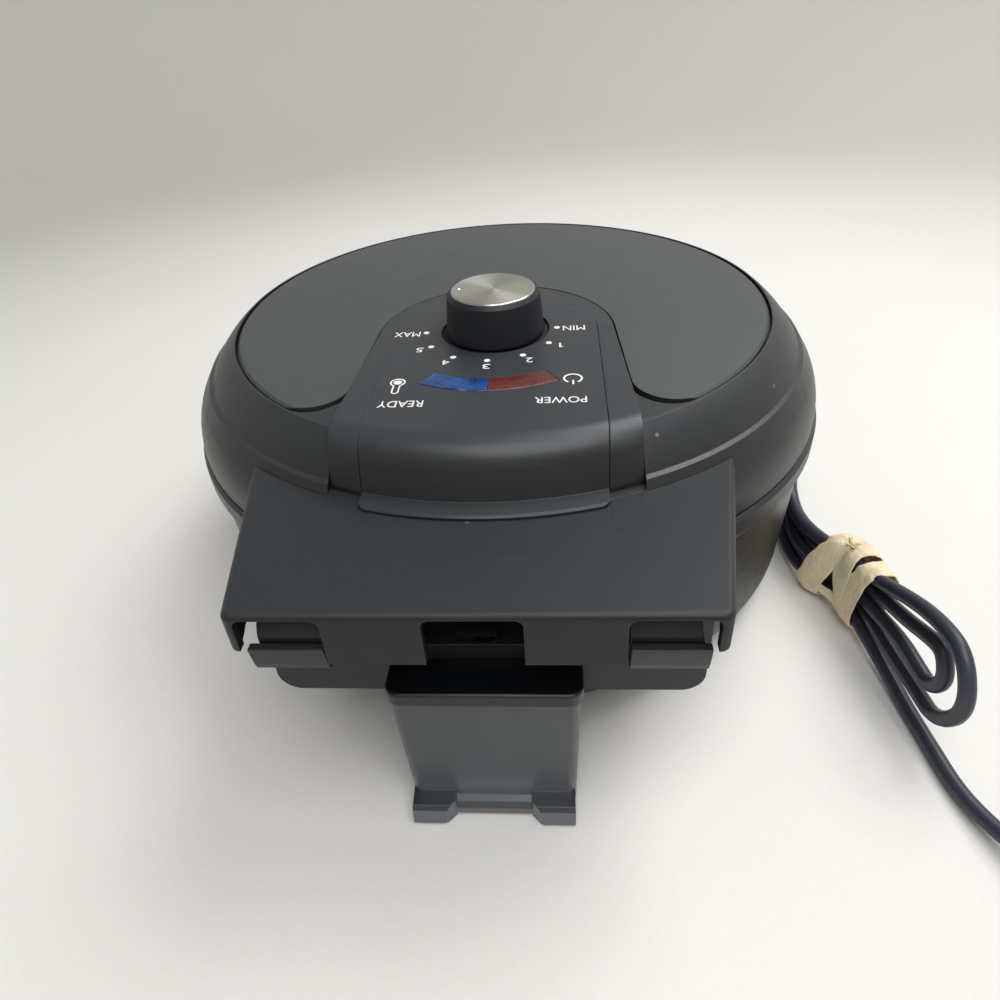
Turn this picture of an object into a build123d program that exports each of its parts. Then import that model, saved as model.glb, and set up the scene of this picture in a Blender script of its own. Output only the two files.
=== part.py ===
from build123d import *
import math
import os

# Round waffle maker with a hinged lid, millimetres.
# +Z is up and the table is z = 0. The round body is centred on x = y = 0,
# the hinge is at the rear (+Y) and the lid handle at the front (-Y).

# Round body
rim_r = 117.0
rim_top_z = 71.4
rim_height = 6.4
shell_wall = 2.4
wall_top_r = rim_r - 2.2
wall_top_z = 61.0
wall_foot_r = rim_r - 4.8
wall_foot_z = 18.0
foot_edge_r = rim_r - 13.0
cover_z = 5.8
cover_thick = 2.4
cover_r = foot_edge_r - 6.0
fit = 0.3
ledge_z = 65.0
ledge_thick = 2.4
ledge_r = rim_r - 11.0

# Lid
part_line_gap = 0.8
lid_r = rim_r - 1.2
lid_wall = 2.6
lid_z = rim_top_z + part_line_gap
flange_top_z = 80.0
plate_top_z = 90.0
step_r = lid_r - 8.6
step_z = 93.0
inlay_r = lid_r - 19.7
lid_bead_r = lid_r - 3.4
seam_gap = 0.8
seam_z = 104.0
dome_z = 106.4
inlay_thick = 2.2
lid_floor_z = 101.5
lid_floor_thick = 2.2
lid_ledge_z = 76.2
inlay_corner_r = 12.0

# Control pod
knob_y = 29.5
frame_arch_r = 40.0
frame_rear_half = 45.5
frame_z = 106.3
panel_half = 34.4
panel_z = 106.8
panel_thick = 2.4
panel_gap = 0.25
pod_top_r = lid_r - 20.0
pod_wall_r = step_r
pod_wall_z = 91.3
pod_base_z = 98.0
pod_base_r = pod_wall_r - 9.2
lip_r = lid_r - 2.3
lens_in_r = 35.5
lens_out_r = 43.5
lens_half_angle = 29.0
lens_gap = 0.15
lens_proud = 0.2

# Knob
knob_r = 16.6
knob_top_r = 15.4
knob_z = 106.3
knob_height = 14.5
knob_well_r = 18.4
knob_well_depth = 1.4
cap_r = 14.0
cap_thick = 1.6
shaft_r = 3.0
running = 0.05

# Hinge
hinge_y = rim_r + 21.2
hinge_z = 78.0
barrel_r = 6.5
barrel_x0 = 37.0
barrel_x1 = 53.9
pin_r = 2.5
cheek_thick = 2.3
cheek_r = 6.6
cradle_wall = 2.2
cradle_over = 2.0
lip_drop = 0.8

# Hinge plate and its skirt
plate_thick = 2.6
plate_front_half = 71.6
plate_front_y = rim_r - 32.0
plate_rear_half = 59.7
rear_reach = hinge_y + 10.3
edge_round = 1.8
skirt_low_z = 73.5
flange_low_z = 78.2
side_cut_x = 36.2
centre_cut_half = 12.0
cut_top_z = 88.4
cut_corner_r = 2.2

# Rear beam and standing leg
beam_half = 60.0
beam_low_z = 43.0
beam_top_z = 61.5
beam_rear_y = rim_r + 14.0
beam_corner_r = 6.5
beam_front_y = rim_r - 22.0
tower_top_z = 74.0
leg_front_y = beam_rear_y - 17.0
leg_top_half = 25.9
leg_foot_half = 24.6
leg_top_y = rear_reach - 5.3
leg_foot_y = rear_reach - 8.1
leg_wall = 2.6
cap_half = 26.5
leg_cap_y = rear_reach - 4.6
leg_cap_z = 56.0
leg_cap_thick = 4.2
leg_groove = 0.9
toe_in_x = 11.5
toe_out_x = 24.3
toe_height = 8.0
toe_flank = 3.2
toe_y = rear_reach - 1.1
bridge_y = toe_y - 3.4

# Waffle plates
well_r = rim_r - 26.5
ridge_in_r = rim_r - 24.5
ridge_out_r = rim_r - 22.0
channel_r = rim_r - 13.0
well_floor_z = 59.5
well_depth = 9.8
plate_back = 4.0
tip_gap = 5.4
stud_pitch = 15.5
stud_base = 10.2
stud_taper = 9.0
stud_circle_r = 81.0

# Heating elements and shields
element_r = 62.0
element_tube_r = 3.3
element_gap_angle = 30.0
element_terminal = 13.0
shield_thick = 0.8
lower_shield_z = 43.5
upper_shield_z = 96.0
shield_hole_r = 25.0

# Feet and fasteners
foot_r = 8.0
foot_taper = 9.0
foot_x = 50.0
foot_y = 48.0
screw_r = 1.5
screw_head_r = 3.2
screw_ring_r = cover_r - 10.0
boss_r = 4.5
boss_top_z = 24.0
gusset_height = 5.0
gusset_thick = 2.4

# Handle
handle_half = 33.0
handle_low_z = 75.5
handle_top_z = 87.0
handle_wall = 2.6

# Cord
cord_d = 5.0
exit_angle = 240.0
exit_z = 20.0
relief_start_r = rim_r - 11.0
relief_end_r = rim_r + 18.0
relief_r = 6.5
relief_tip_r = 3.6
hank_step = 10.0
waist_step = 5.5
hank_run = 130.0
waist_start = 36.0
waist_end = 90.0
waist_drop = 5.2
tie_station = 75.0
tie_x = -128.0
tie_y = 55.0
hank_lean = -0.12

os.makedirs("parts", exist_ok=True)


def save(part, name):
    part.part.label = name
    export_step(part.part, "parts/" + name + ".step")


def pod_outline(grow):
    """Plan of the control pod: an arch round the knob with sides running to the rear."""
    with BuildSketch(mode=Mode.PRIVATE) as plan:
        with Locations((0, knob_y)):
            Circle(frame_arch_r + grow)
        with BuildLine():
            Polyline(
                (-frame_arch_r - grow, knob_y),
                (frame_arch_r + grow, knob_y),
                (frame_rear_half + grow, rim_r),
                (-frame_rear_half - grow, rim_r),
                close=True,
            )
        make_face()
    return plan.sketch


def panel_outline(grow):
    """Plan of the raised control panel inside the pod."""
    with BuildSketch(mode=Mode.PRIVATE) as plan:
        with Locations((0, knob_y)):
            Circle(panel_half + grow)
        with Locations((0, (knob_y + rim_r) / 2)):
            Rectangle(2 * (panel_half + grow), rim_r - knob_y)
    return plan.sketch


def inlay_outline(grow):
    """Plan of the big lid panel, cut away round the pod with two rounded corners."""
    with BuildSketch(mode=Mode.PRIVATE) as plan:
        Circle(inlay_r + grow)
        add(pod_outline(seam_gap - grow), mode=Mode.SUBTRACT)
        fillet(plan.vertices().group_by(Axis.Y)[-1], inlay_corner_r - grow)
    return plan.sketch


def lens_outline(start, sweep, grow):
    """Ring sector of an indicator lens, centred on the knob."""
    turn = math.degrees(grow / lens_out_r)
    low = math.radians(start - turn)
    high = math.radians(start + sweep + turn)
    mid = (low + high) / 2
    small = lens_in_r - grow
    large = lens_out_r + grow
    with BuildSketch(mode=Mode.PRIVATE) as plan:
        with BuildLine():
            ThreePointArc(
                (small * math.cos(low), knob_y + small * math.sin(low)),
                (small * math.cos(mid), knob_y + small * math.sin(mid)),
                (small * math.cos(high), knob_y + small * math.sin(high)),
            )
            ThreePointArc(
                (large * math.cos(low), knob_y + large * math.sin(low)),
                (large * math.cos(mid), knob_y + large * math.sin(mid)),
                (large * math.cos(high), knob_y + large * math.sin(high)),
            )
            for angle in (low, high):
                Line(
                    (small * math.cos(angle), knob_y + small * math.sin(angle)),
                    (large * math.cos(angle), knob_y + large * math.sin(angle)),
                )
        make_face()
    return plan.sketch


def lid_body(grow):
    """The lid's outer form as a plain solid, grown for the pieces that meet its wall."""
    with BuildPart(mode=Mode.PRIVATE) as body:
        with BuildSketch(Plane.XZ):
            with BuildLine():
                Polyline((0, seam_z), (0, lid_z - 2), (lid_r + grow, lid_z - 2), (lid_r + grow, lid_z + 1))
                ThreePointArc(
                    (lid_r + grow, lid_z + 1),
                    (lid_r - 0.7 + grow, flange_top_z),
                    (lid_bead_r + grow, 86.8),
                )
                ThreePointArc(
                    (lid_bead_r + grow, 86.8),
                    (lid_bead_r - 9.0 + grow, 98.4),
                    (inlay_r + 0.8 + grow, seam_z),
                )
                Line((inlay_r + 0.8 + grow, seam_z), (0, seam_z))
            make_face()
        revolve(axis=Axis.Z)
    return body.part


# The cord leaves the drum square to its wall
relief_plane = Plane(
    origin=(0, 0, exit_z),
    x_dir=(-math.sin(math.radians(exit_angle)), math.cos(math.radians(exit_angle)), 0),
    z_dir=(math.cos(math.radians(exit_angle)), math.sin(math.radians(exit_angle)), 0),
)

# Base shell: one drum with a wide rim, an inner ledge and four screw bosses
foot_in_z = cover_z + cover_thick + 0.2
with BuildPart() as base_shell:
    with BuildSketch(Plane.XZ):
        with BuildLine():
            ThreePointArc((foot_edge_r, cover_z), (wall_foot_r - 2.6, 10.2), (wall_foot_r, wall_foot_z))
            Polyline(
                (wall_foot_r, wall_foot_z),
                (wall_top_r, wall_top_z),
                (rim_r - 0.7, rim_top_z - rim_height - 1.6),
                (rim_r, rim_top_z - rim_height),
                (rim_r, rim_top_z - 1.2),
                (rim_r - 1.0, rim_top_z),
                (rim_r - 5.4, rim_top_z),
                (rim_r - 5.4, ledge_z),
                (ledge_r, ledge_z),
                (ledge_r, ledge_z - ledge_thick),
                (wall_top_r - shell_wall, wall_top_z),
                (wall_foot_r - shell_wall, wall_foot_z),
            )
            ThreePointArc(
                (wall_foot_r - shell_wall, wall_foot_z),
                (wall_foot_r - 4.2, 12.2),
                (foot_edge_r - 1.0, foot_in_z),
            )
            Polyline(
                (foot_edge_r - 1.0, foot_in_z),
                (cover_r, foot_in_z),
                (cover_r, cover_z),
                (foot_edge_r, cover_z),
            )
        make_face()
    revolve(axis=Axis.Z)
    with BuildSketch(Plane.XY.offset(cover_z + cover_thick)):
        with PolarLocations(screw_ring_r, 4, start_angle=45):
            Circle(boss_r)
    extrude(amount=boss_top_z - cover_z - cover_thick)
    with BuildSketch(Plane.XY.offset(wall_foot_z - gusset_height)):
        with PolarLocations((screw_ring_r + wall_foot_r - shell_wall) / 2, 4, start_angle=45):
            Rectangle(wall_foot_r - shell_wall + 1.0 - screw_ring_r, gusset_thick)
    extrude(amount=gusset_height)
    with BuildSketch(Plane.XY.offset(cover_z + cover_thick)):
        with PolarLocations(screw_ring_r, 4, start_angle=45):
            Circle(screw_r + running)
    extrude(amount=boss_top_z - cover_z - cover_thick - 3, mode=Mode.SUBTRACT)
    with BuildSketch(relief_plane.offset(relief_start_r - 2)):
        Circle(relief_r + 0.1)
    extrude(amount=15, mode=Mode.SUBTRACT)
save(base_shell, "base_shell")

# Bottom cover: a round plate with curved vent slots, screw holes and counterbores
with BuildPart() as bottom_cover:
    with BuildSketch(Plane.XY.offset(cover_z)):
        Circle(cover_r - fit)
        with PolarLocations(screw_ring_r, 4, start_angle=45):
            Circle(screw_r + 0.3, mode=Mode.SUBTRACT)
        for ring_r in (32.0, 44.0):
            with PolarLocations(ring_r, 12):
                SlotOverall(9.0, 2.6, mode=Mode.SUBTRACT)
    extrude(amount=cover_thick)
    with BuildSketch(Plane.XY.offset(cover_z)):
        with PolarLocations(screw_ring_r, 4, start_angle=45):
            Circle(screw_head_r + fit)
    extrude(amount=1.2, mode=Mode.SUBTRACT)
save(bottom_cover, "bottom_cover")

# Four screws hold the cover to the bosses
with BuildPart() as base_screws:
    with BuildSketch(Plane.XY.offset(cover_z + 0.1)):
        with PolarLocations(screw_ring_r, 4, start_angle=45):
            Circle(screw_head_r)
    extrude(amount=1.1)
    with BuildSketch(Plane.XY.offset(cover_z + 1.2)):
        with PolarLocations(screw_ring_r, 4, start_angle=45):
            Circle(screw_r)
    extrude(amount=10)
save(base_screws, "base_screws")

# Four rubber feet under the cover
with BuildPart() as rubber_feet:
    with BuildSketch(Plane.XY.offset(cover_z)):
        with GridLocations(2 * foot_x, 2 * foot_y, 2, 2):
            Circle(foot_r)
    extrude(amount=-cover_z, taper=foot_taper)
save(rubber_feet, "rubber_feet")


def stud_places():
    """Grid points of the pocket studs that lie inside the well."""
    steps = range(-6, 6)
    grid = [((i + 0.5) * stud_pitch, (j + 0.5) * stud_pitch) for i in steps for j in steps]
    return [place for place in grid if math.hypot(*place) < stud_circle_r]


# Lower waffle plate: a cast dish with a well, a ridge, an overflow channel and studs
ridge_top_z = well_floor_z + well_depth + 1.1
with BuildPart() as lower_waffle_plate:
    with BuildSketch(Plane.XZ):
        with BuildLine():
            Polyline(
                (0, well_floor_z),
                (well_r, well_floor_z),
                (ridge_in_r, ridge_top_z),
                (ridge_out_r, ridge_top_z),
                (ridge_out_r + 2, ridge_top_z - 3.4),
                (channel_r - 2.4, ridge_top_z - 3.4),
                (channel_r + 0.4, ridge_top_z + 0.4),
                (rim_r - 5.7, ridge_top_z + 0.4),
                (rim_r - 5.7, ledge_z),
                (ledge_r - fit, ledge_z),
                (ledge_r - fit, ledge_z - 1.6),
                (ridge_out_r + 2, ledge_z - 1.6),
                (ridge_in_r, well_floor_z - plate_back),
                (0, well_floor_z - plate_back),
                close=True,
            )
        make_face()
    revolve(axis=Axis.Z)
    with BuildSketch(Plane.XY.offset(well_floor_z)):
        with Locations(*stud_places()):
            Rectangle(stud_base, stud_base)
    extrude(amount=well_depth, taper=stud_taper)
save(lower_waffle_plate, "lower_waffle_plate")


def heater(z_top, down):
    """A bent tube heater: most of a ring with two terminals turned away from the plate."""
    z = z_top - element_tube_r if down else z_top + element_tube_r
    way = -1 if down else 1
    start = math.radians(270 + element_gap_angle / 2)
    with BuildPart(mode=Mode.PRIVATE) as tube:
        with BuildLine():
            CenterArc((0, 0, z), element_r, 270 + element_gap_angle / 2, 360 - element_gap_angle)
        ring_plane = Plane(
            origin=(element_r * math.cos(start), element_r * math.sin(start), z),
            z_dir=(-math.sin(start), math.cos(start), 0),
        )
        with BuildSketch(ring_plane):
            Circle(element_tube_r)
        sweep()
        for side in (-1, 1):
            angle = math.radians(270 + side * element_gap_angle / 2)
            with Locations((element_r * math.cos(angle), element_r * math.sin(angle), z)):
                Sphere(element_tube_r)
        with BuildSketch(Plane.XY.offset(z)):
            with PolarLocations(element_r, 2, start_angle=270 - element_gap_angle / 2,
                                angular_range=element_gap_angle, endpoint=True):
                Circle(element_tube_r)
        extrude(amount=way * element_terminal)
    return tube.part


with BuildPart() as lower_heating_element:
    add(heater(well_floor_z - plate_back - fit, True))
save(lower_heating_element, "lower_heating_element")

# Lower heat shield: a thin dish hung from the ledge
with BuildPart() as lower_heat_shield:
    with BuildSketch(Plane.XZ):
        with BuildLine():
            Polyline(
                (0, lower_shield_z),
                (ledge_r - 22.0, lower_shield_z),
                (ledge_r - 4.4, ledge_z - ledge_thick - fit - shield_thick),
                (ledge_r - 0.2, ledge_z - ledge_thick - fit - shield_thick),
                (ledge_r - 0.2, ledge_z - ledge_thick - fit),
                (ledge_r - 4.8, ledge_z - ledge_thick - fit),
                (ledge_r - 22.4, lower_shield_z + shield_thick),
                (0, lower_shield_z + shield_thick),
                close=True,
            )
        make_face()
    revolve(axis=Axis.Z)
    with BuildSketch(Plane.XY.offset(lower_shield_z - 1)):
        with PolarLocations(element_r, 2, start_angle=270 - element_gap_angle / 2,
                            angular_range=element_gap_angle, endpoint=True):
            Circle(element_tube_r + 1.2)
    extrude(amount=3, mode=Mode.SUBTRACT)
save(lower_heat_shield, "lower_heat_shield")

# Thermal fuse in its clip under the shield
fuse_z = lower_shield_z - fit - 3.0
with BuildPart() as thermal_fuse:
    with BuildSketch(Plane.YZ.offset(-9)):
        with Locations((30, fuse_z)):
            Circle(2.4)
    extrude(amount=18)
    with BuildSketch(Plane.YZ.offset(-4)):
        with Locations((30, fuse_z)):
            Rectangle(8, 6)
    extrude(amount=8)
save(thermal_fuse, "thermal_fuse")

# Terminal block on the bottom cover, beside the cord's way in
with BuildPart() as terminal_block:
    with BuildSketch(Plane.XY.offset(cover_z + cover_thick)):
        with Locations((-30, -52)):
            RectangleRounded(30, 16, 2)
    extrude(amount=13)
    with BuildSketch(Plane.XY.offset(cover_z + cover_thick + 13)):
        with Locations((-30, -52)):
            with GridLocations(10, 1, 3, 1):
                Circle(2.6)
    extrude(amount=-4, mode=Mode.SUBTRACT)
save(terminal_block, "terminal_block")

# Rear beam with two towers; each carries a cheek for the pin and an open cradle under the barrel
cradle_r = barrel_r + fit + cradle_wall
cradle_side = [
    (hinge_y - 8.5, hinge_z - lip_drop),
    (hinge_y + cradle_r, hinge_z - lip_drop),
    (hinge_y + cradle_r - 0.4, hinge_z - 3.6),
    (hinge_y + cradle_r - 1.0, hinge_z - 7.0),
    (hinge_y + cradle_r - 1.6, hinge_z - 9.0),
    (hinge_y + 5.6, hinge_z - 10.2),
    (hinge_y, hinge_z - 11.4),
    (hinge_y - 8.5, hinge_z - 14.0),
]
cheek_arm = [
    (hinge_y - 1.0, hinge_z + cheek_r - 0.2),
    (hinge_y - 11.0, hinge_z - 2.0),
    (hinge_y - 11.0, hinge_z - 10.0),
    (hinge_y - 7.4, hinge_z - 10.0),
    (hinge_y - 7.4, hinge_z - 6.8),
    (hinge_y - 4.4, hinge_z - 4.8),
]
tower_in_x = barrel_x0 - fit - cheek_thick
with BuildPart() as hinge_bracket:
    with BuildSketch(Plane.XZ.offset(-beam_rear_y)):
        with Locations((0, (beam_low_z + beam_top_z) / 2)):
            Rectangle(2 * beam_half, beam_top_z - beam_low_z)
    extrude(amount=beam_rear_y - beam_front_y)
    low_edges = hinge_bracket.edges().filter_by(Axis.Y).group_by(Axis.Z)[0]
    fillet(low_edges, beam_corner_r)
    for side in (-1, 1):
        with BuildSketch(Plane.XZ.offset(-beam_rear_y)):
            with Locations((side * (tower_in_x + beam_half) / 2, (beam_top_z + tower_top_z) / 2 - 1)):
                Rectangle(beam_half - tower_in_x, tower_top_z - beam_top_z + 2)
        extrude(amount=beam_rear_y - beam_front_y)
    with BuildSketch(Plane.XY.offset(beam_low_z - 5)):
        Circle(wall_top_r + 0.4)
    extrude(amount=50, mode=Mode.SUBTRACT)
    with BuildSketch(Plane.XY.offset(wall_top_z)):
        Circle(rim_r + 0.4)
    extrude(amount=30, mode=Mode.SUBTRACT)
    for side in (-1, 1):
        cradle_length = barrel_x1 - barrel_x0 + cradle_over
        with BuildSketch(Plane.YZ.offset(side * (barrel_x0 + fit + cradle_length / 2) - cradle_length / 2)):
            with BuildLine():
                Polyline(*cradle_side, close=True)
            make_face()
            with Locations((hinge_y, hinge_z)):
                Circle(barrel_r + fit, mode=Mode.SUBTRACT)
        extrude(amount=cradle_length)
        with BuildSketch(Plane.YZ.offset(side * (tower_in_x + cheek_thick / 2) - cheek_thick / 2)):
            with Locations((hinge_y, hinge_z)):
                Circle(cheek_r)
            with BuildLine():
                Polyline(*cheek_arm, close=True)
            make_face()
            with Locations((hinge_y, hinge_z)):
                Circle(pin_r, mode=Mode.SUBTRACT)
        extrude(amount=cheek_thick)
save(hinge_bracket, "hinge_bracket")

# Two steel hinge pins pressed into the cheeks
for side, name in ((1, "hinge_pin_left"), (-1, "hinge_pin_right")):
    with BuildPart() as hinge_pin:
        with BuildSketch(Plane.YZ.offset(side * tower_in_x)):
            with Locations((hinge_y, hinge_z)):
                Circle(pin_r)
        extrude(amount=side * (barrel_x1 - 1.5 - tower_in_x))
        chamfer(hinge_pin.edges().filter_by(GeomType.CIRCLE).sort_by(Axis.X)[-1 if side > 0 else 0], 0.4)
    save(hinge_pin, name)

# Standing leg: a hollow tapered post with a cap, a groove and two toes
leg_under_z = beam_low_z - fit
leg_rise = leg_cap_z - leg_cap_thick
with BuildPart() as standing_leg:
    with BuildSketch():
        with Locations((0, (leg_front_y + leg_foot_y) / 2)):
            RectangleRounded(2 * leg_foot_half, leg_foot_y - leg_front_y, 3)
    with BuildSketch(Plane.XY.offset(leg_rise)):
        with Locations((0, (leg_front_y + leg_top_y) / 2)):
            RectangleRounded(2 * leg_top_half, leg_top_y - leg_front_y, 3)
    loft()
    with BuildSketch(Plane.XY.offset(leg_rise - leg_groove)):
        with Locations((0, (leg_front_y + leg_top_y) / 2)):
            RectangleRounded(2 * leg_top_half + 4, leg_top_y - leg_front_y + 4, 4)
            RectangleRounded(2 * leg_top_half - 1.4, leg_top_y - leg_front_y - 1.4, 2.4, mode=Mode.SUBTRACT)
    extrude(amount=leg_groove, mode=Mode.SUBTRACT)
    with BuildSketch(Plane.XY.offset(leg_rise)):
        with Locations((0, (leg_front_y + leg_cap_y) / 2)):
            RectangleRounded(2 * cap_half, leg_cap_y - leg_front_y, 4)
    extrude(amount=leg_cap_thick)
    cap_top = standing_leg.faces().sort_by(Axis.Z)[-1]
    fillet(cap_top.edges(), 1.0)
    with BuildSketch(Plane.XY.offset(leg_under_z)):
        with Locations((0, (leg_front_y - 5 + beam_rear_y + fit) / 2)):
            Rectangle(80, beam_rear_y + fit - leg_front_y + 5)
    extrude(amount=20, mode=Mode.SUBTRACT)
    with BuildSketch():
        with Locations((0, (leg_front_y + leg_foot_y) / 2)):
            Rectangle(2 * (leg_foot_half - leg_wall), leg_foot_y - leg_front_y - 2 * leg_wall)
    extrude(amount=leg_under_z - leg_wall, mode=Mode.SUBTRACT)
    for side in (-1, 1):
        toe_x = side * (toe_in_x + toe_out_x) / 2
        with BuildSketch(Plane.YZ.offset(toe_x - (toe_out_x - toe_in_x) / 2)):
            with BuildLine():
                Polyline(
                    (leg_foot_y - leg_wall, 0),
                    (toe_y - 0.8, 0),
                    (toe_y, 0.9),
                    (toe_y - 0.8, toe_height - 2.0),
                    (toe_y - 2.0, toe_height - 0.8),
                    (leg_foot_y + 0.4, toe_height),
                    (leg_foot_y - leg_wall, toe_height),
                    close=True,
                )
            make_face()
        extrude(amount=toe_out_x - toe_in_x)
        with BuildSketch():
            with BuildLine():
                Polyline(
                    (side * (toe_in_x - 1), bridge_y),
                    (side * toe_in_x, bridge_y),
                    (side * (toe_in_x + toe_flank), toe_y),
                    (side * (toe_in_x + toe_flank), toe_y + 1),
                    (side * (toe_in_x - 1), toe_y + 1),
                    close=True,
                )
            make_face()
        extrude(amount=toe_height + 1, mode=Mode.SUBTRACT)
    with BuildSketch(Plane.YZ.offset(-toe_in_x)):
        with BuildLine():
            Polyline(
                (leg_foot_y - leg_wall, 0.6),
                (bridge_y - 0.6, 0.6),
                (bridge_y, 1.2),
                (bridge_y, 3.6),
                (bridge_y - 1.3, 5.2),
                (leg_foot_y + 0.2, 6.2),
                (leg_foot_y - leg_wall, 6.2),
                close=True,
            )
        make_face()
    extrude(amount=2 * toe_in_x)
save(standing_leg, "standing_leg")

# Wire sleeve from the beam up to the hinge axis
gland_r = 4.0
sleeve_r = 3.2
sleeve_y = beam_rear_y - 4.0
sleeve_bend_z = 70.0
sleeve_way = Vector(0, hinge_y - sleeve_y, hinge_z - sleeve_bend_z).normalized()
sleeve_end = Vector(0, hinge_y, hinge_z) - sleeve_way * (gland_r + fit)
with BuildPart() as wire_sleeve:
    with BuildLine() as sleeve_path:
        FilletPolyline(
            (0, sleeve_y, beam_top_z),
            (0, sleeve_y, sleeve_bend_z),
            (0, sleeve_end.Y, sleeve_end.Z),
            radius=6.0,
        )
    with BuildSketch(Plane.XY.offset(beam_top_z)):
        with Locations((0, sleeve_y)):
            Circle(sleeve_r)
    sweep()
save(wire_sleeve, "wire_sleeve")

# Lid shell: flange, stepped shoulder, a recess for the top panel and a cut for the pod
lid_in_r = lid_r - lid_wall
with BuildPart() as lid_shell:
    with BuildSketch(Plane.XZ):
        with BuildLine():
            Line((lid_in_r, lid_z), (lid_r, lid_z))
            Line((lid_r, lid_z), (lid_r, lid_z + 1))
            ThreePointArc((lid_r, lid_z + 1), (lid_r - 0.7, flange_top_z), (lid_bead_r, 86.8))
            Polyline(
                (lid_bead_r, 86.8),
                (step_r + 1.6, step_z - 0.6),
                (step_r + 0.2, step_z),
                (step_r - 0.4, step_z + 1),
            )
            ThreePointArc(
                (step_r - 0.4, step_z + 1),
                (step_r - 4.0, 98.6),
                (inlay_r + seam_gap + 0.6, seam_z - 0.2),
            )
            Polyline(
                (inlay_r + seam_gap + 0.6, seam_z - 0.2),
                (inlay_r - 8, seam_z + 0.3),
                (0, seam_z + 0.3),
                (0, lid_floor_z - lid_floor_thick),
                (inlay_r + 0.9, lid_floor_z - lid_floor_thick),
                (step_r - 6.6, 97.4),
                (step_r - 3.4, 93.4),
                (lid_bead_r - 3.2, 86.8),
                (lid_in_r - 1.6, 82.0),
                (lid_in_r, lid_ledge_z + 2),
                (ledge_r, lid_ledge_z + 2),
                (ledge_r, lid_ledge_z),
                (lid_in_r, lid_ledge_z),
                (lid_in_r, lid_z),
            )
        make_face()
    revolve(axis=Axis.Z)
    with BuildSketch(Plane.XY.offset(lid_floor_z)):
        add(inlay_outline(seam_gap))
    extrude(amount=10, mode=Mode.SUBTRACT)
    with BuildSketch(Plane.XY.offset(pod_base_z - 0.2)):
        add(pod_outline(panel_gap))
    extrude(amount=20, mode=Mode.SUBTRACT)
    with BuildSketch(Plane.XY.offset(plate_top_z - 0.1)):
        add(pod_outline(panel_gap))
        Circle(pod_base_r - fit, mode=Mode.SUBTRACT)
    extrude(amount=20, mode=Mode.SUBTRACT)
save(lid_shell, "lid_shell")

# Lid panel: a thin dome on a rim that stands on the lid floor
with BuildPart() as lid_panel:
    with BuildSketch(Plane.XZ):
        with BuildLine():
            Line((0, dome_z - inlay_thick), (0, dome_z))
            ThreePointArc((0, dome_z), (0.6 * inlay_r, dome_z - 0.86), (inlay_r - 1.0, seam_z + 0.05))
            Polyline(
                (inlay_r - 1.0, seam_z + 0.05),
                (inlay_r, seam_z - 0.8),
                (inlay_r, lid_floor_z),
                (inlay_r - 2.2, lid_floor_z),
                (inlay_r - 2.2, seam_z - inlay_thick + 0.3),
            )
            ThreePointArc(
                (inlay_r - 2.2, seam_z - inlay_thick + 0.3),
                (0.6 * inlay_r, dome_z - inlay_thick - 0.86),
                (0, dome_z - inlay_thick),
            )
        make_face()
    revolve(axis=Axis.Z)
    with BuildSketch(Plane.XY.offset(lid_floor_z - 1)):
        add(inlay_outline(0))
    extrude(amount=12, mode=Mode.INTERSECT)
save(lid_panel, "lid_panel")


def pod_wall(drop):
    """Rear profile line of the pod, from its flat top down the curved wall."""
    arc = ThreePointArc(
        (pod_top_r, panel_z - drop),
        (pod_top_r + 5.9, panel_z - 2.2 - drop),
        (pod_top_r + 8.7, panel_z - 6.6),
    )
    Line(arc @ 1, (pod_wall_r, pod_wall_z))


# Pod frame: the band round the control panel with its outer wall
with BuildPart() as pod_frame:
    with BuildSketch(Plane.XZ):
        with BuildLine():
            pod_wall(panel_z - frame_z)
            Polyline(
                (pod_wall_r, pod_wall_z),
                (pod_wall_r, plate_top_z + 0.05),
                (pod_base_r, plate_top_z + 0.05),
                (pod_base_r, pod_base_z),
                (0, pod_base_z),
                (0, frame_z),
                (pod_top_r, frame_z),
            )
        make_face()
    revolve(axis=Axis.Z)
    with BuildSketch(Plane.XY.offset(plate_top_z)):
        add(pod_outline(0))
    extrude(amount=20, mode=Mode.INTERSECT)
    with BuildSketch(Plane.XY.offset(pod_base_z)):
        add(pod_outline(-lid_wall))
        Circle(pod_top_r + 4, mode=Mode.INTERSECT)
    extrude(amount=frame_z - panel_thick - pod_base_z, mode=Mode.SUBTRACT)
    with BuildSketch(Plane.XY.offset(plate_top_z)):
        add(panel_outline(panel_gap))
    extrude(amount=20, mode=Mode.SUBTRACT)
save(pod_frame, "pod_frame")

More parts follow.
